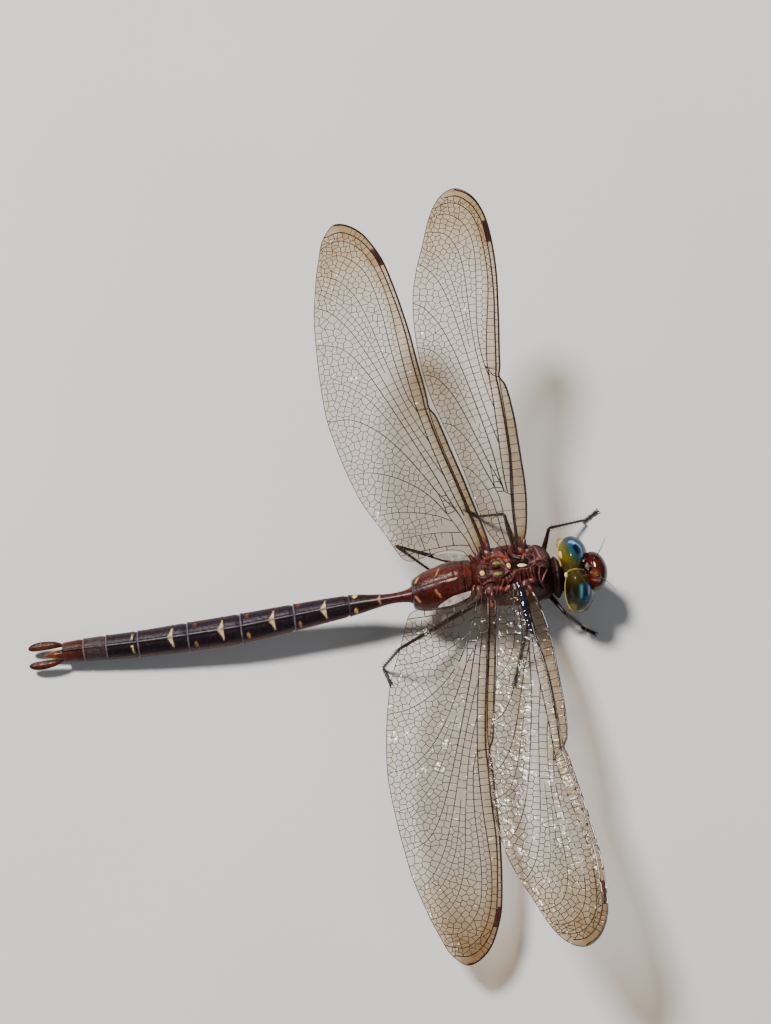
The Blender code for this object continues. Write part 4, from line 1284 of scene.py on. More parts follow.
# The worked top of the back: points (x, y) in hundredths of a mm, half width, height (below 0: a hollow)
# and colour. The hollows are painted near black as painted shade, and the pink crest tones are painted
# highlights.
RELIEF = (
    (((158, 39), (236, 39), (306, 30), (358, 19)), 0.5, -0.42, HOLLOW_SHADE),
    (((147, 237), (218, 233), (260, 195)), 0.34, -0.3, HOLLOW_SHADE),
    (((153, 162), (213, 124), (268, 92)), 0.24, -0.22, HOLLOW_SHADE),
    (((271, 110), (329, 102), (380, 47)), 0.2, -0.2, HOLLOW_SHADE),
    (((-106, 25), (-54, 10), (5, 11), (55, -14)), 0.12, -0.16, HOLLOW_SHADE),
    (((-116, 76), (-141, 30), (-130, -20)), 0.12, -0.12, HOLLOW_SHADE),
    (((-103, -78), (-47, -98), (19, -94)), 0.12, -0.14, HOLLOW_SHADE),
    (((-167, 40), (-168, -8), (-187, -54)), 0.12, -0.14, HOLLOW_SHADE),
    (((-248, -30), (-214, -46), (-179, -51)), 0.1, -0.12, HOLLOW_SHADE),
    (((49, -92), (111, -76), (175, -48)), 0.22, -0.22, HOLLOW_SHADE),
    (((-35, -178), (8, -208), (56, -202), (118, -186)), 0.28, -0.25, HOLLOW_SHADE),
    (((239, -93), (252, -167), (254, -228)), 0.2, -0.25, HOLLOW_SHADE),
    (((313, -78), (321, -177), (334, -251)), 0.12, -0.18, HOLLOW_SHADE),
    (((-182, 187), (-143, 206), (-99, 262)), 0.14, -0.16, HOLLOW_SHADE),
    (((-62, 276), (-54, 214), (-78, 168)), 0.12, -0.14, HOLLOW_SHADE),
    (((74, 148), (93, 195), (75, 234)), 0.13, -0.14, HOLLOW_SHADE),
    (((448, -19), (429, -102), (445, -189), (498, -233)), 0.16, -0.12, HOLLOW_SHADE),
    (((319, 116), (388, 95), (415, 116)), 0.12, -0.14, HOLLOW_SHADE),
    (((-61, 203), (11, 205), (66, 174)), 0.32, 0.14, RUST),
    (((2, 145), (80, 111), (118, 45)), 0.2, 0.1, RUST),
    (((335, 218), (353, 191)), 0.17, 0.1, EMBER),
    (((-148, 293), (-118, 252), (-125, 204)), 0.24, 0.14, PLUM),
    (((-212, -192), (-162, -175), (-107, -206)), 0.28, 0.16, PLUM),
    (((6, -163), (3, -223)), 0.16, 0.12, RUST),
    (((80, -138), (85, -187), (60, -232)), 0.15, 0.14, RUST),
    (((-49, 128), (-12, 96), (33, 74)), 0.26, 0.08, OLIVE_SKIN),
    (((-70, -52), (-23, -56), (25, -53)), 0.26, 0.08, OLIVE_SKIN),
    (((362, 34), (438, 58), (536, 72), (616, 47), (677, 17)), 0.12, 0.34, STAR_HIGHLIGHT),
    (((133, -85), (187, -50), (254, -34), (320, -31), (397, 2), (427, 38)), 0.13, 0.32, CREST_HIGHLIGHT),
    (((531, 63), (499, 129), (481, 205), (467, 268)), 0.11, 0.3, STAR_HIGHLIGHT),
    (((536, 72), (595, 138), (656, 204)), 0.11, 0.28, STAR_HIGHLIGHT),
    (((436, 54), (490, 98), (551, 105), (620, 81)), 0.1, 0.24, STAR_HIGHLIGHT),
    (((424, 21), (473, -25), (459, -108), (476, -184), (527, -105), (571, -35), (523, -9),
      (475, -25)), 0.075, 0.2, STAR_HIGHLIGHT),
    (((365, -30), (364, -103), (394, -186)), 0.085, 0.22, RIB_HIGHLIGHT),
    (((315, -38), (323, -118), (326, -203)), 0.08, 0.22, CREST_HIGHLIGHT),
    (((402, -20), (401, -105), (422, -181)), 0.07, 0.18, CREST_HIGHLIGHT),
    (((275, -51), (279, -129), (283, -208)), 0.08, 0.22, CREST_HIGHLIGHT),
    (((226, -61), (229, -128), (225, -188)), 0.08, 0.22, CREST_HIGHLIGHT),
    (((303, 307), (282, 236), (316, 160), (372, 136), (399, 194), (371, 266), (339, 307)), 0.085, 0.2, CREST_HIGHLIGHT),
    (((239, 212), (275, 250), (300, 302)), 0.08, 0.18, CREST_HIGHLIGHT),
    (((440, 251), (421, 192), (435, 129), (436, 73)), 0.08, 0.16, CREST_HIGHLIGHT),
    (((241, 151), (274, 134), (306, 105), (300, 143)), 0.06, 0.14, RIB_HIGHLIGHT),
    (((364, 98), (375, 54), (364, 18)), 0.06, 0.14, CREST_HIGHLIGHT),
    (((67, 186), (91, 122), (115, 60), (124, 7)), 0.085, 0.24, RIB_HIGHLIGHT),
    (((99, 200), (119, 130), (145, 66)), 0.07, 0.18, CREST_HIGHLIGHT),
    (((-80, 117), (-14, 133), (44, 96), (67, 39), (99, -1)), 0.08, 0.2, CREST_HIGHLIGHT),
    (((-94, 51), (-51, 33), (9, 37), (58, -3), (105, -36), (133, -85)), 0.075, 0.18, CREST_HIGHLIGHT),
    (((-93, -73), (-34, -93), (39, -81), (93, -37)), 0.075, 0.18, CREST_HIGHLIGHT),
    (((-236, 135), (-182, 94), (-101, 80)), 0.085, 0.2, CREST_HIGHLIGHT),
    (((-247, 56), (-213, 45), (-164, 50), (-99, 22)), 0.07, 0.16, CREST_HIGHLIGHT),
    (((-181, 349), (-182, 263), (-215, 181), (-188, 126)), 0.085, 0.2, CREST_HIGHLIGHT),
    (((-77, 340), (-76, 266), (-21, 232), (36, 217), (79, 170)), 0.08, 0.2, CREST_HIGHLIGHT),
    (((-151, 163), (-79, 178), (-32, 221)), 0.07, 0.18, RIB_HIGHLIGHT),
    (((-181, 226), (-153, 173), (-166, 126)), 0.06, 0.16, RIB_HIGHLIGHT),
    (((28, -131), (5, -177), (-27, -233)), 0.075, 0.2, RIB_HIGHLIGHT),
    (((72, -113), (75, -186), (33, -247)), 0.07, 0.2, RIB_HIGHLIGHT),
    (((99, -153), (129, -127), (160, -82)), 0.085, 0.22, CREST_HIGHLIGHT),
    (((-217, -143), (-151, -118), (-72, -128), (-46, -192), (-77, -261)), 0.085, 0.22, CREST_HIGHLIGHT),
    (((-130, -110), (-103, -90), (-69, -100)), 0.06, 0.14, CREST_HIGHLIGHT),
    (((-185, -254), (-143, -211), (-120, -154)), 0.07, 0.18, CREST_HIGHLIGHT),
    (((-266, -84), (-238, -136), (-259, -194)), 0.07, 0.16, CREST_HIGHLIGHT),
    (((-17, -121), (-32, -180), (-21, -266)), 0.06, 0.18, CREST_HIGHLIGHT),
)
# Slanting grooves on the sides: x at the belly, x at the back
SIDE_GROOVES = ((6.0, 3.6), (3.9, 1.2), (1.9, -0.6), (0.2, -1.7))


def thorax_section(angle):
    side, up = math.sin(angle), math.cos(angle)
    return (
        math.copysign(abs(side) ** 0.8, side), math.copysign(abs(up) ** 0.8, up))


def thorax_colour(point):
    """Dark red-brown; on the front, painted lighter plum on the lit left and painted shade of blackish maroon
    on the right.
    """
    height = ease(3.0, 9.5, point.z)
    colour = blend((0.042, 0.0050, 0.0030), (0.045, 0.0055, 0.0035), height)
    front = ease(3.3, 4.3, point.x + 0.25 * (point.z - 8.0))
    left = ease(-0.3, 0.2, point.y)
    # Painted light: the upper front left is lightened to plum, as where the lamp falls on it.
    colour = blend(colour, (0.058, 0.019, 0.018), front * left * height)
    # Painted shade: the front right is darkened to blackish maroon.
    colour = blend(colour, (0.030, 0.0040, 0.0028), front * (1 - left))
    side = ease(2.6, 3.2, abs(point.y)) * ease(8.8, 7.6, point.z)
    for low, high, strength in ((4.9, 2.2, 0.35), (0.9, -1.3, 0.35)):
        share = (point.z - 3.0) / 6.0
        line = low + (high - low) * share
        patch = bell(point.x - line, 0.4) * ease(4.2, 5.2, point.z)
        colour = blend(colour, (0.30, 0.16, 0.04), side * patch * strength * ease(8.4, 7.4, point.z))
    return colour


def press_thorax(point):
    """Grooves between the side plates, a hollow along the back and a keel at the front."""
    share = (point.z - 1.9) / 8.3
    side = ease(2.0, 3.0, abs(point.y))
    sink = 0.0
    for low, high in SIDE_GROOVES:
        line = low + (high - low) * share
        sink += 0.16 * bell(point.x - line, 0.16)
    point.y -= math.copysign(sink * side, point.y)
    front = ease(3.4, 4.8, point.x) * ease(6.5, 8.0, point.z)
    point.z -= 0.30 * abs(point.y) * front
    point.z += 0.20 * bell(point.y, 0.2) * front
    if point.z > 8.0:
        trough = bell(abs(point.y) - 1.7, 0.6) * (1 - front)
        point.z -= 0.30 * trough
    return point


def line_reach(spots, line):
    """How far each spot (x, y) is from a line."""
    best = np.full(len(spots), 1e9)
    for start, end in zip(line, line[1:]):
        along = end - start
        share = np.clip(((spots - start) @ along) / max(float(along @ along), 1e-9), 0.0, 1.0)
        away = spots - start - share[:, None] * along
        best = np.minimum(best, np.hypot(away[:, 0], away[:, 1]))
    return best


def carve(obj, strokes, colour_at, low, high, middle):
    """Press crests and hollows into the top of a piece and paint them.

    They fade in between the heights low and high, and rise away from the axis at middle.
    """
    spots = np.array([tuple(vertex.co) for vertex in obj.data.vertices])
    tones = np.array([colour_at(vertex.co) for vertex in obj.data.vertices])
    top = np.clip((spots[:, 2] - low) / (high - low), 0.0, 1.0)[:, None]
    crest, hollow = np.zeros((len(spots), 1)), np.zeros((len(spots), 1))
    for points, wide, lift, tone in strokes:
        reach = line_reach(spots[:, :2], smooth_line(np.array(points) / 100, 0.15))[:, None]
        swell = np.exp(-((reach / wide) ** 2)) * top
        if lift > 0:
            crest = np.maximum(crest, swell * lift)
        else:
            hollow = np.minimum(hollow, swell * lift)
        share = np.clip(swell * 1.35 - 0.12, 0.0, 1.0)
        tones = tones * (1.0 - share) + np.array(tone) * share
    out = spots * np.array((0.0, 1.0, 1.0)) - np.array((0.0, 0.0, middle))
    out /= np.linalg.norm(out, axis=1)[:, None]
    spots = spots + out * (crest + hollow)
    obj.data.vertices.foreach_set("co", spots.ravel())
    coat = obj.data.color_attributes.new("paint", "FLOAT_COLOR", "POINT")
    coat.data.foreach_set("color", np.hstack((tones, np.ones((len(tones), 1)))).ravel())
    obj.data.update()


def build_thorax(finish, polished):
    """The trunk with its wrinkled back, and the yellow marks along it."""
    stations = [(x, 0.0, THORAX_MIDDLE_Z + lift, wide, high)
                for x, lift, wide, high in smooth_rows(THORAX_STATIONS, 0.16)]
    trunk = sleeve("pterothorax", stations, sides=150, section=thorax_section)

    def shear(point):
        point.x += THORAX_SHEAR * (point.z - THORAX_MIDDLE_Z)
        return press_thorax(point)
    press(trunk, shear)
    modify(trunk, "SUBSURF", levels=1, render_levels=1)
    carve(trunk, RELIEF, thorax_colour, low=7.2, high=8.4, middle=6.5)
    bpy.context.view_layer.update()
    for number, ((x, y), (long, wide), colour) in enumerate(BACK_MARKS):
        _, spot, *_ = trunk.ray_cast(Vector((x, y, 20.0)), -UP)
        mark = ball("mark", spot - UP * 0.05, (long, wide, 0.2), 32, 20)
        if number == 0:
            press(mark, lambda co: Vector((
                co.x, y + (co.y - y) * (1.0 - 0.6 * ease(-0.2, 0.7, co.x - x)), co.z)))
        finish_piece(paint(mark, colour), f"back_mark_{number + 1}", polished)
    finish_piece(trunk, "pterothorax", finish, ("pterothorax",), smooth=70)


def build_neck(finish):
    """The collar between head and wings, in three lobes, painted darker at the right as shade and lighter at
    the left as lit, with a painted highlight on the rim.
    """
    centre = Vector((7.05, -0.8, 5.6))
    neck = ball("prothorax", centre, (0.95, 2.42, 2.35), segments=96, rings=64)

    def lobes(point):
        away = point - centre
        swell = 1.0 + 0.05 * math.cos(away.x * 6.0) - 0.05 * bell(away.y, 0.2)
        return centre + Vector((away.x, away.y * swell, away.z * swell))

    def neck_colour(point):
        # Painted light and shade: lighter on the lit left, darker on the shaded right.
        left = ease(-0.9, -0.2, point.y)
        colour = blend((0.009, 0.0016, 0.0013), (0.020, 0.0055, 0.005), left)
        # Painted highlight: a lighter line round the middle of the collar, on the lit left only.
        rim = bell(point.x - 7.05, 0.10)
        return blend(colour, (0.075, 0.028, 0.025), rim * left * 0.9)
    press(neck, lobes)
    paint(neck, neck_colour)
    finish_piece(neck, "prothorax", finish, ("prothorax",))


# ---------------------------------------------------------------- abdomen

SEGMENT_STARTS = (-2.75, -4.3, -10.5, -18.2, -24.9, -31.4, -37.9, -44.0, -47.9, -50.7, -53.2)
ABDOMEN_PROFILE = (
    # x, sideways drift of the centre, height of the centre, half width, half height
    (-2.6, 0.0, 7.1, 1.9, 2.0), (-3.4, -0.05, 7.0, 2.45, 2.45), (-4.8, -0.2, 6.9, 2.75, 2.65),
    (-7.4, -0.5, 6.65, 2.52, 2.5), (-9.0, -0.7, 6.46, 2.3, 2.25), (-10.0, -0.8, 6.35, 1.9, 1.9),
    (-10.4, -0.84, 6.32, 1.5, 1.6), (-10.6, -0.85, 6.3, 1.0, 1.1), (-11.2, -0.87, 6.24, 0.74, 0.84),
    (-12.4, -0.89, 6.1, 0.62, 0.74), (-13.6, -0.91, 5.95, 0.66, 0.78), (-15.2, -0.95, 5.78, 0.88, 0.95),
    (-18.2, -1.02, 5.45, 1.3, 1.2), (-25.0, -1.4, 4.65, 1.62, 1.45),
    (-31.5, -1.75, 3.9, 1.8, 1.6), (-38.0, -1.8, 3.15, 1.76, 1.6), (-44.0, -1.75, 2.55, 1.6, 1.5),
    (-48.0, -1.6, 2.15, 1.5, 1.4), (-50.7, -1.5, 1.95, 1.38, 1.3), (-53.2, -1.45, 1.8, 1.2, 1.1),
)
# Yellow wedges beside the keel: front edge x, length at the keel, reach to the side
WEDGES = {3: (-14.3, 0.4, 0.75), 4: (-20.9, 0.72, 1.1), 5: (-27.18, 0.72, 1.12),
          6: (-33.44, 0.7, 1.12), 7: (-39.6, 0.66, 1.1), 8: (-44.45, 0.35, 1.2)}
# Paired spots near the hind rim: x, half length, inner and outer reach, colour
REAR_SPOTS = {3: (-17.35, 0.30, 0.6, 1.3, YELLOW), 4: (-24.2, 0.26, 0.8, 1.6, ORANGE),
              5: (-30.5, 0.26, 0.85, 1.6, ORANGE), 6: (-36.86, 0.26, 0.9, 1.5, (0.07, 0.018, 0.008))}
RING_COLOURS = {3: (0.035, 0.025, 0.035), 9: (0.17, 0.085, 0.08)}
SMOOTH_PROFILE = smooth_rows(ABDOMEN_PROFILE, 0.3)
SEGMENT_GAP = 0.04          # half the gap between two segments
CROSS_RIDGES = {1: (-3.4,), 2: (-5.6, -7.7), 3: (-11.3,)}
TAIL_MIDDLE = -1.5


def abdomen_section(angle):
    """Round, with a sharp keel on top, a side ridge low down and a flat, pleated belly."""
    side, up = math.sin(angle), math.cos(angle)
    turn = abs(math.degrees(angle))
    keel = 0.07 * bell(turn, 5.0)
    ridge = 0.05 * bell(turn - 118.0, 5.0)
    pleat = -0.10 * bell(turn - 150.0, 7.0)
    belly = -0.08 * ease(125.0, 180.0, turn)
    size = 1.0 + keel + ridge + pleat + belly
    return side * size, up * size


def ground_colour(number, point, off, side, turn, share):
    """A segment's colour under its marks, at a place off to the left and round from the top. Its left half is
    painted lighter as lit: pinker on the first two segments and with a purple-grey painted sheen on the dark
    ones.
    """
    if number <= 2:
        # Painted light: the left half is painted pinker and lighter, as where lit.
        colour = blend((0.050, 0.0048, 0.0020), (0.072, 0.0125, 0.0068), ease(-0.2, 0.5, off))
        colour = blend(colour, (0.032, 0.004, 0.003), ease(-8.0, -10.4, point.x))
        colour = blend(colour, (0.080, 0.0085, 0.0022), ease(35, 65, turn) * ease(110, 80, turn) * 0.7)
        colour = blend(colour, (0.016, 0.006, 0.010), ease(-9.9, -10.4, point.x))
        # Painted sheen: a purple-grey streak along the keel.
        streak = ease(0.34, 0.1, side) * ease(-6.4, -7.6, point.x)
        return blend(colour, (0.080, 0.045, 0.050), streak)
    if number == 3:
        colour = blend((0.060, 0.005, 0.003), (0.012, 0.0025, 0.002), ease(-12.0, -16.0, point.x))
        return blend(colour, (0.060, 0.005, 0.003), ease(35, 70, turn) * 0.7)
    if number >= 10:
        colour = blend((0.045, 0.007, 0.0045), (0.066, 0.010, 0.005), share)
        return blend(colour, (0.012, 0.004, 0.003), ease(0.35, 0.1, side))
    # Painted sheen: the upper left half is lightened to purple-grey, as where lit.
    colour = blend(blend(BLACK_BROWN, SHEEN_VIOLET, 0.3), SHEEN_VIOLET, ease(0.0, 0.3, off) * ease(70, 30, turn))
    colour = blend(colour, (0.080, 0.007, 0.004), ease(50, 80, turn) * ease(9.5, 6, number))
    return blend(colour, (0.055, 0.030, 0.034), 0.6) if number == 9 else colour


def second_segment_marks(colour, point, off, side):
    """Two slanting pairs of dashes and a short line on the keel."""
    shift = 0.0 if off > 0 else 0.38
    for x_mark, low, high, thick in ((-7.35, 0.95, 2.0, 0.10), (-9.75, 1.0, 1.85, 0.14)):
        low, high = low - shift, high - shift * 0.8
        slant = point.x - x_mark - 0.55 * (side - 1.4)
        mark = ease(thick, thick * 0.5, abs(slant)) * ease(low - 0.1, low + 0.1, side)
        colour = blend(colour, (0.44, 0.22, 0.07), mark * ease(high + 0.1, high - 0.1, side))
    line = ease(0.09, 0.04, side) * ease(0.65, 0.45, abs(point.x + 5.75))
    return blend(colour, (0.55, 0.38, 0.20), line)


def wedge_mark(colour, number, point, off, side):
    """The yellow wedges beside the keel, with their hollow rear edges."""
    edge, length, reach = WEDGES[number]
    reach *= 1.18 if off < 0 else 1.0
    part = side / reach
    rear = edge - length * max(0.0, 1.0 - part) ** 1.6 - 0.04
    edge += 0.07 * part
    gap = 0.1 if number < 8 else 0.35
    mark = (ease(rear - 0.05, rear + 0.05, point.x) * ease(edge + 0.05, edge - 0.05, point.x)
            * ease(gap - 0.05, gap + 0.05, side) * ease(reach + 0.05, reach - 0.05, side))
    return blend(colour, (0.56, 0.42, 0.21) if number > 3 else (0.36, 0.16, 0.08), mark)


def rear_spot(colour, number, point, off, side):
    """The paired spots near the hind rim, smaller and paler on the right."""
    x_spot, half, low, high, tone = REAR_SPOTS[number]
    if off < 0:
        half, high, tone = half * 0.7, high + 0.25, blend(tone, (0.36, 0.22, 0.09), 0.55)
    elif number > 3:
        tone = (0.10, 0.022, 0.009)
    mark = math.hypot((point.x - x_spot - 0.12 * (side - low)) / half,
                      (side - (low + high) / 2) / ((high - low) / 2))
    return blend(colour, tone, ease(1.1, 0.8, mark))


def segment_colour(number, front, back):
    """Colours of one segment of the abdomen: ground, marks, a pale keel line painted as a highlight, hind
    ring and belly.
    """
    def colour_at(point):
        _, y, z, wide, high = between(SMOOTH_PROFILE, point.x)
        off = point.y - y
        angle = math.atan2(off / wide, (point.z - z) / high)
        side = abs(angle * (wide + high) / 2.0)
        turn = abs(math.degrees(angle))
        share = (front - point.x) / (front - back)
        colour = ground_colour(number, point, off, side, turn, share)
        if number == 2:
            colour = second_segment_marks(colour, point, off, side)
        if number in WEDGES:
            colour = wedge_mark(colour, number, point, off, side)
        if number in REAR_SPOTS:
            colour = rear_spot(colour, number, point, off, side)
        # Painted highlight: a pale line along the keel, as where the ridge catches the light.
        keel = (0.8 if number > 2 else 0.08) * ease(0.10, 0.03, side) if number < 9 else 0.0
        colour = blend(colour, (0.40, 0.35, 0.38) if number == 3 else (0.15, 0.125, 0.15), keel)
        colour = blend(colour, (0.030, 0.020, 0.024), ease(front + 0.005, front + 0.02, point.x))
        if 3 <= number <= 9:
            ring = ease(back + 0.24, back + 0.16, point.x) * ease(125, 100, turn) * 0.9
            colour = blend(colour, RING_COLOURS.get(number, RING_GREY), ring)
        belly = (0.030, 0.014, 0.010) if number > 2 else (0.10, 0.03, 0.015)
        return blend(colour, belly, ease(125, 150, turn))
    return colour_at


def segment_stations(number, front, back):
    """Cross-sections of one segment, from front to back: a waist, cross ridges and a hind ring."""
    spots = [front, *np.arange(front - 0.06, back + 0.35, -0.14)]
    spots += [back + away for away in (0.34, 0.26, 0.2, 0.1, 0.02, 0.0)]
    ridges = CROSS_RIDGES.get(number, ())
    if number in WEDGES:
        ridges += (WEDGES[number][0],)
    stations = []
    for x in spots:
        x, y, z, wide, high = between(SMOOTH_PROFILE, x)
        size = 0.94 + 0.06 * ease(front, front - 0.5, x)
        if number < 10:
            size += 0.035 * ease(back + 0.34, back + 0.26, x) * ease(back - 0.01, back + 0.06, x)
        if x <= back + 0.05:
            size -= 0.05
        for at in ridges:
            size += 0.02 * bell(x - at, 0.10)
            size -= 0.015 * bell(x - at - 0.25, 0.12)
        if number == 2:
            size += 0.025 * bell(x + 6.6, 0.9)
        stations.append((x, y, z, wide * size, high * size))
    if number > 1:
        x, y, z, wide, high = stations[0]
        neck = [(x + ahead, y, z, wide * 0.93, high * 0.93) for ahead in (0.11, 0.03)]
        stations = neck + stations
    return stations


def build_abdomen(polished, satin):
    for number, (front, back) in enumerate(zip(SEGMENT_STARTS, SEGMENT_STARTS[1:]), 1):
        name = f"abdomen_{number:02d}"
        front, back = front - SEGMENT_GAP, back + SEGMENT_GAP
        stations = segment_stations(number, front, back)
        segment = sleeve(name, stations, sides=96, section=abdomen_section)
        paint(segment, segment_colour(number, front, back))
        finish_piece(segment, name, polished if number <= 2 else satin, (name,), smooth=50)


def build_tail(finish):
    """Two leaf-shaped upper claspers and the pointed lower one between them."""
    cercus = (
        (-53.1, 0.92, 2.05, 0.22, 0.26), (-54.1, 1.08, 1.9, 0.44, 0.27), (-55.4, 1.16, 1.72, 0.54, 0.24),
        (-56.5, 1.14, 1.55, 0.50, 0.2), (-57.1, 1.1, 1.45, 0.34, 0.15), (-57.38, 1.08, 1.41, 0.10, 0.06))
    lower = (
        (-53.1, 0.0, 1.35, 0.60, 0.3), (-54.3, 0.0, 1.3, 0.44, 0.26), (-55.2, 0.0, 1.25, 0.24, 0.2),
        (-55.55, 0.0, 1.2, 0.07, 0.08))

    def leaf(angle):
        side, up = math.sin(angle), math.cos(angle)
        ridge = 0.25 * bell(angle, 0.25)
        return side, up * (0.8 + 0.2 * abs(up) + ridge)

    def leaf_colour(point):
        away = ease(-53.3, -54.5, point.x)
        colour = blend((0.045, 0.008, 0.004), TAIL_BROWN, away)
        edge = ease(0.14, 0.34, abs(point.y - TAIL_MIDDLE) - 1.14)
        colour = blend(colour, (0.035, 0.009, 0.004), edge)
        return blend(colour, (0.05, 0.014, 0.006), ease(-56.6, -57.3, point.x))

    def lower_colour(point):
        return blend((0.05, 0.010, 0.004), (0.15, 0.036, 0.009), ease(-53.4, -54.4, point.x))
    for name, side, rows, colour in (
            ("cercus_left", 1, cercus, leaf_colour), ("cercus_right", -1, cercus, leaf_colour),
            ("epiproct", 1, lower, lower_colour)):
        stations = [(x - 0.15, TAIL_MIDDLE + side * out, z, wide, high)
                    for x, out, z, wide, high in smooth_rows(rows, 0.12)]
        clasper = paint(sleeve(name, stations, sides=40, section=leaf), colour)
        finish_piece(clasper, name, finish, (name,))


# ---------------------------------------------------------------- legs

LEGS = {
    # coxa, knee, ankle and toe of each, and the thigh's radius
    "leg_fore_left": ((5.6, 1.3, 3.4), (7.28, 5.5, 5.0), (12.3, 6.9, 0.95), (14.55, 8.2), 0.43),
    "leg_fore_right": ((5.6, -1.3, 3.4), (7.6, -5.0, 4.2), (9.9, -6.3, 0.95), (11.7, -7.5), 0.43),
    "leg_mid_left": ((3.6, 1.5, 2.8), (2.1, 8.0, 4.9), (-0.5, 9.1, 0.95), (-2.3, 10.6), 0.4),
    "leg_mid_right": ((3.6, -1.5, 2.8), (2.75, -6.4, 5.4), (1.5, -10.1, 0.95), (0.5, -12.5), 0.4),
    "leg_hind_left": ((-0.6, 1.4, 3.2), (-11.6, 5.35, 6.5), (-6.9, 2.4, 0.95), (-4.2, 1.3), 0.38),
    "leg_hind_right": ((-0.6, -1.4, 3.2), (-12.8, -7.15, 6.6), (-14.9, -8.2, 0.95), (-14.2, -10.4), 0.38),
}


def spikes(start, end, count, length, radius, lean, around):
    """Fine spines in rows along a limb, at the given angles round it, as short tapering rods.

    lean is how far each one leans to the limb's end, in shares of its length.
    """
    lines, radii = [], []
    axis = (end - start).normalized()
    side = axis.orthogonal().normalized()
    for number in range(count):
        share = (number + 0.7) / (count + 0.4)
        for turn in around:
            out = Matrix.Rotation(math.radians(turn), 3, axis) @ side
            root = start.lerp(end, share) + out * radius * 0.7
            tip = root + out * length + axis * length * lean
            lines.append([root, root.lerp(tip, 0.55), tip])
            radii.append([0.028, 0.02, 0.006])
    return lines, radii


def leg_colour(point):
    near = ease(9.0, 3.0, math.hypot(point.x - 3.0, point.y)) * ease(2.0, 3.0, point.z)
    return blend((0.008, 0.0045, 0.004), (0.034, 0.006, 0.004), near)


def build_limb(name, joint, core, thorns, finish, sides, lowest=0.06):
    """One joint of a leg with its spines, kept off the floor."""
    name = f"{name}_{joint}"
    limb = join([rods(joint, *core, sides=sides), rods("thorns", *thorns, sides=4)], name)
    press(limb, lambda co: Vector((co.x, co.y, max(co.z, lowest))))
    finish_piece(paint(limb, leg_colour), name, finish, (name,), smooth=50)


def build_leg(name, finish):
    coxa, knee, ankle, toe, radius = LEGS[name]
    coxa, knee, ankle = Vector(coxa), Vector(knee), Vector(ankle)
    heel, toe = Vector((ankle.x, ankle.y, 0.3)), Vector((*toe, 0.24))
    thigh = [coxa.lerp(knee, s) for s in (0.0, 0.07, 0.12, 0.14, 0.2, 0.22, 0.3, 0.5, 0.7, 0.88, 0.95, 1.0)]
    sizes = [0.56, 0.6, 0.46, 0.34, 0.38, 0.3, *(radius * s for s in (0.86, 0.78, 0.64, 0.5, 0.56, 0.42))]
    thorns = spikes(
        coxa.lerp(knee, 0.3), knee, count=8, length=0.22, radius=radius, lean=0.5, around=(60, 120))
    build_limb(name, "femur", ([thigh], [sizes]), thorns, finish, sides=14)

    down = (ankle - knee).normalized()
    shin = [knee + down * 0.12, *(knee.lerp(ankle, s) for s in (0.08, 0.3, 0.7, 0.95, 1.0))]
    sizes = [0.16, 0.21, 0.17, 0.15, 0.17, 0.14]
    thorns = spikes(
        knee, ankle, count=9, length=0.42, radius=0.2, lean=0.75, around=(50, 130, 230, 310))
    build_limb(name, "tibia", ([shin], [sizes]), thorns, finish, sides=12)

    ahead = (toe - heel).normalized()
    across = ahead.cross(UP).normalized()
    joints, joint_sizes = [ankle - down * 0.1, heel.lerp(toe, 0.02)], [0.15, 0.2]
    for start, end in ((0.04, 0.2), (0.23, 0.45), (0.48, 0.82)):
        joints += [heel.lerp(toe, s) for s in (start, (start + end) / 2, end)]
        joint_sizes += [0.12, 0.19, 0.22]
    lines, radii = [joints], [joint_sizes]
    root = heel.lerp(toe, 0.79)
    for side in (1, -1):
        claw = smooth_line([
            root + ahead * on + across * side * out + UP * rise for on, out, rise in (
                (0.0, 0.0, 0.0), (0.21, 0.13, 0.10), (0.41, 0.21, 0.02), (0.50, 0.24, -0.16))], 0.08)
        lines.append([Vector(point) for point in claw])
        radii.append(list(np.linspace(0.10, 0.025, len(claw))))
    thorns = spikes(heel, toe, count=7, length=0.22, radius=0.18, lean=0.6, around=(90, 200, 340))
    build_limb(name, "tarsus", (lines, radii), thorns, finish, sides=10, lowest=0.0)


# ---------------------------------------------------------------- studio

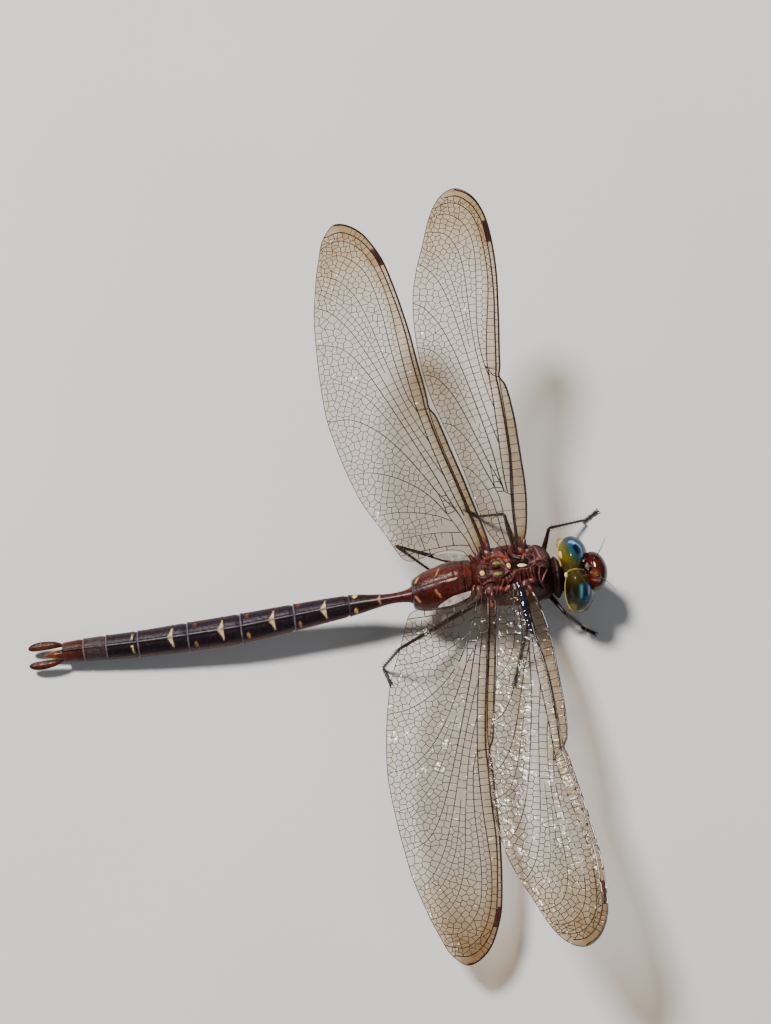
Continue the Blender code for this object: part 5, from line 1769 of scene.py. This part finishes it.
def set_camera():
    """A camera above the right side, looking down at the wings, 15 degrees off the vertical."""
    turn, tilt = math.radians(7.5), math.radians(15.0)
    eye = Vector((2.764, -37.346, 188.356)) * MM
    right = Vector((math.cos(turn), -math.sin(turn), 0.0))
    along = Vector((math.sin(turn), math.cos(turn), 0.0))
    back = UP * math.cos(tilt) - along * math.sin(tilt)
    up = along * math.cos(tilt) + UP * math.sin(tilt)
    data = bpy.data.cameras.new("camera")
    data.sensor_fit = "HORIZONTAL"
    data.sensor_width = 36.0
    data.lens = 72.47
    data.clip_start = 0.001
    camera = link(bpy.data.objects.new("camera", data))
    camera.matrix_world = Matrix((right, up, back)).transposed().to_4x4()
    camera.location = eye
    bpy.context.scene.camera = camera


def add_light(name, stand, aim, size, power, colour):
    data = bpy.data.lights.new(name, "AREA")
    data.shape = "DISK"
    data.size = size
    data.energy = power
    data.color = colour
    lamp = link(bpy.data.objects.new(name, data))
    lamp.location = stand
    lamp.rotation_mode = "QUATERNION"
    lamp.rotation_quaternion = (Vector(aim) - Vector(stand)).to_track_quat("-Z", "Y")


def set_stage():
    """Pale floor, a main soft lamp from the left and behind, a weak fill and a dim sky."""
    put_down()
    bpy.ops.mesh.primitive_plane_add(size=3.0)
    floor = bpy.context.view_layer.objects.active
    floor.name = "floor"
    floor.data.materials.append(floor_finish())
    add_light(
        "main_lamp", (-0.237, 0.30, 0.60), aim=(0.01, 0.0, 0.0), size=0.13, power=9.5,
        colour=(1.0, 0.97, 0.92))
    add_light(
        "fill_lamp", (0.35, -0.45, 0.5), aim=(0.0, 0.0, 0.0), size=0.5, power=0.8,
        colour=(0.93, 0.96, 1.0))
    world = bpy.data.worlds.new("studio")
    world.use_nodes = True
    sky = world.node_tree.nodes["Background"]
    sky.inputs["Color"].default_value = (0.9, 0.94, 1.0, 1.0)
    sky.inputs["Strength"].default_value = 0.16
    bpy.context.scene.world = world


# ---------------------------------------------------------------- the dragonfly

def build_dragonfly():
    shell, eye = shell_finish(), eye_finish()
    back, satin = back_finish(), dark_tail_finish()
    gloss = shell_finish("face_gloss", smoothest=0.05, roughest=0.11, level=0.6, depth=0.4)
    vein, film = vein_finish(), film_finish()
    build_face(gloss)
    build_antennae(shell)
    for side_name, side in (("left", 1), ("right", -1)):
        build_eye(side_name, side, eye)
    build_eye_rims(shell)
    build_neck(back)
    build_thorax(back, shell)
    build_abdomen(shell, satin)
    build_tail(shell)
    for name in LEGS:
        build_leg(name, shell)
    for name in WINGS:
        build_wing(name, film, vein, shell)
        build_root(name, shell)
    build_strap("wing_fore_right", gloss)
    build_membranule("wing_hind_left", shell)
    build_membranule("wing_hind_right", shell)


set_camera()
build_dragonfly()
set_stage()
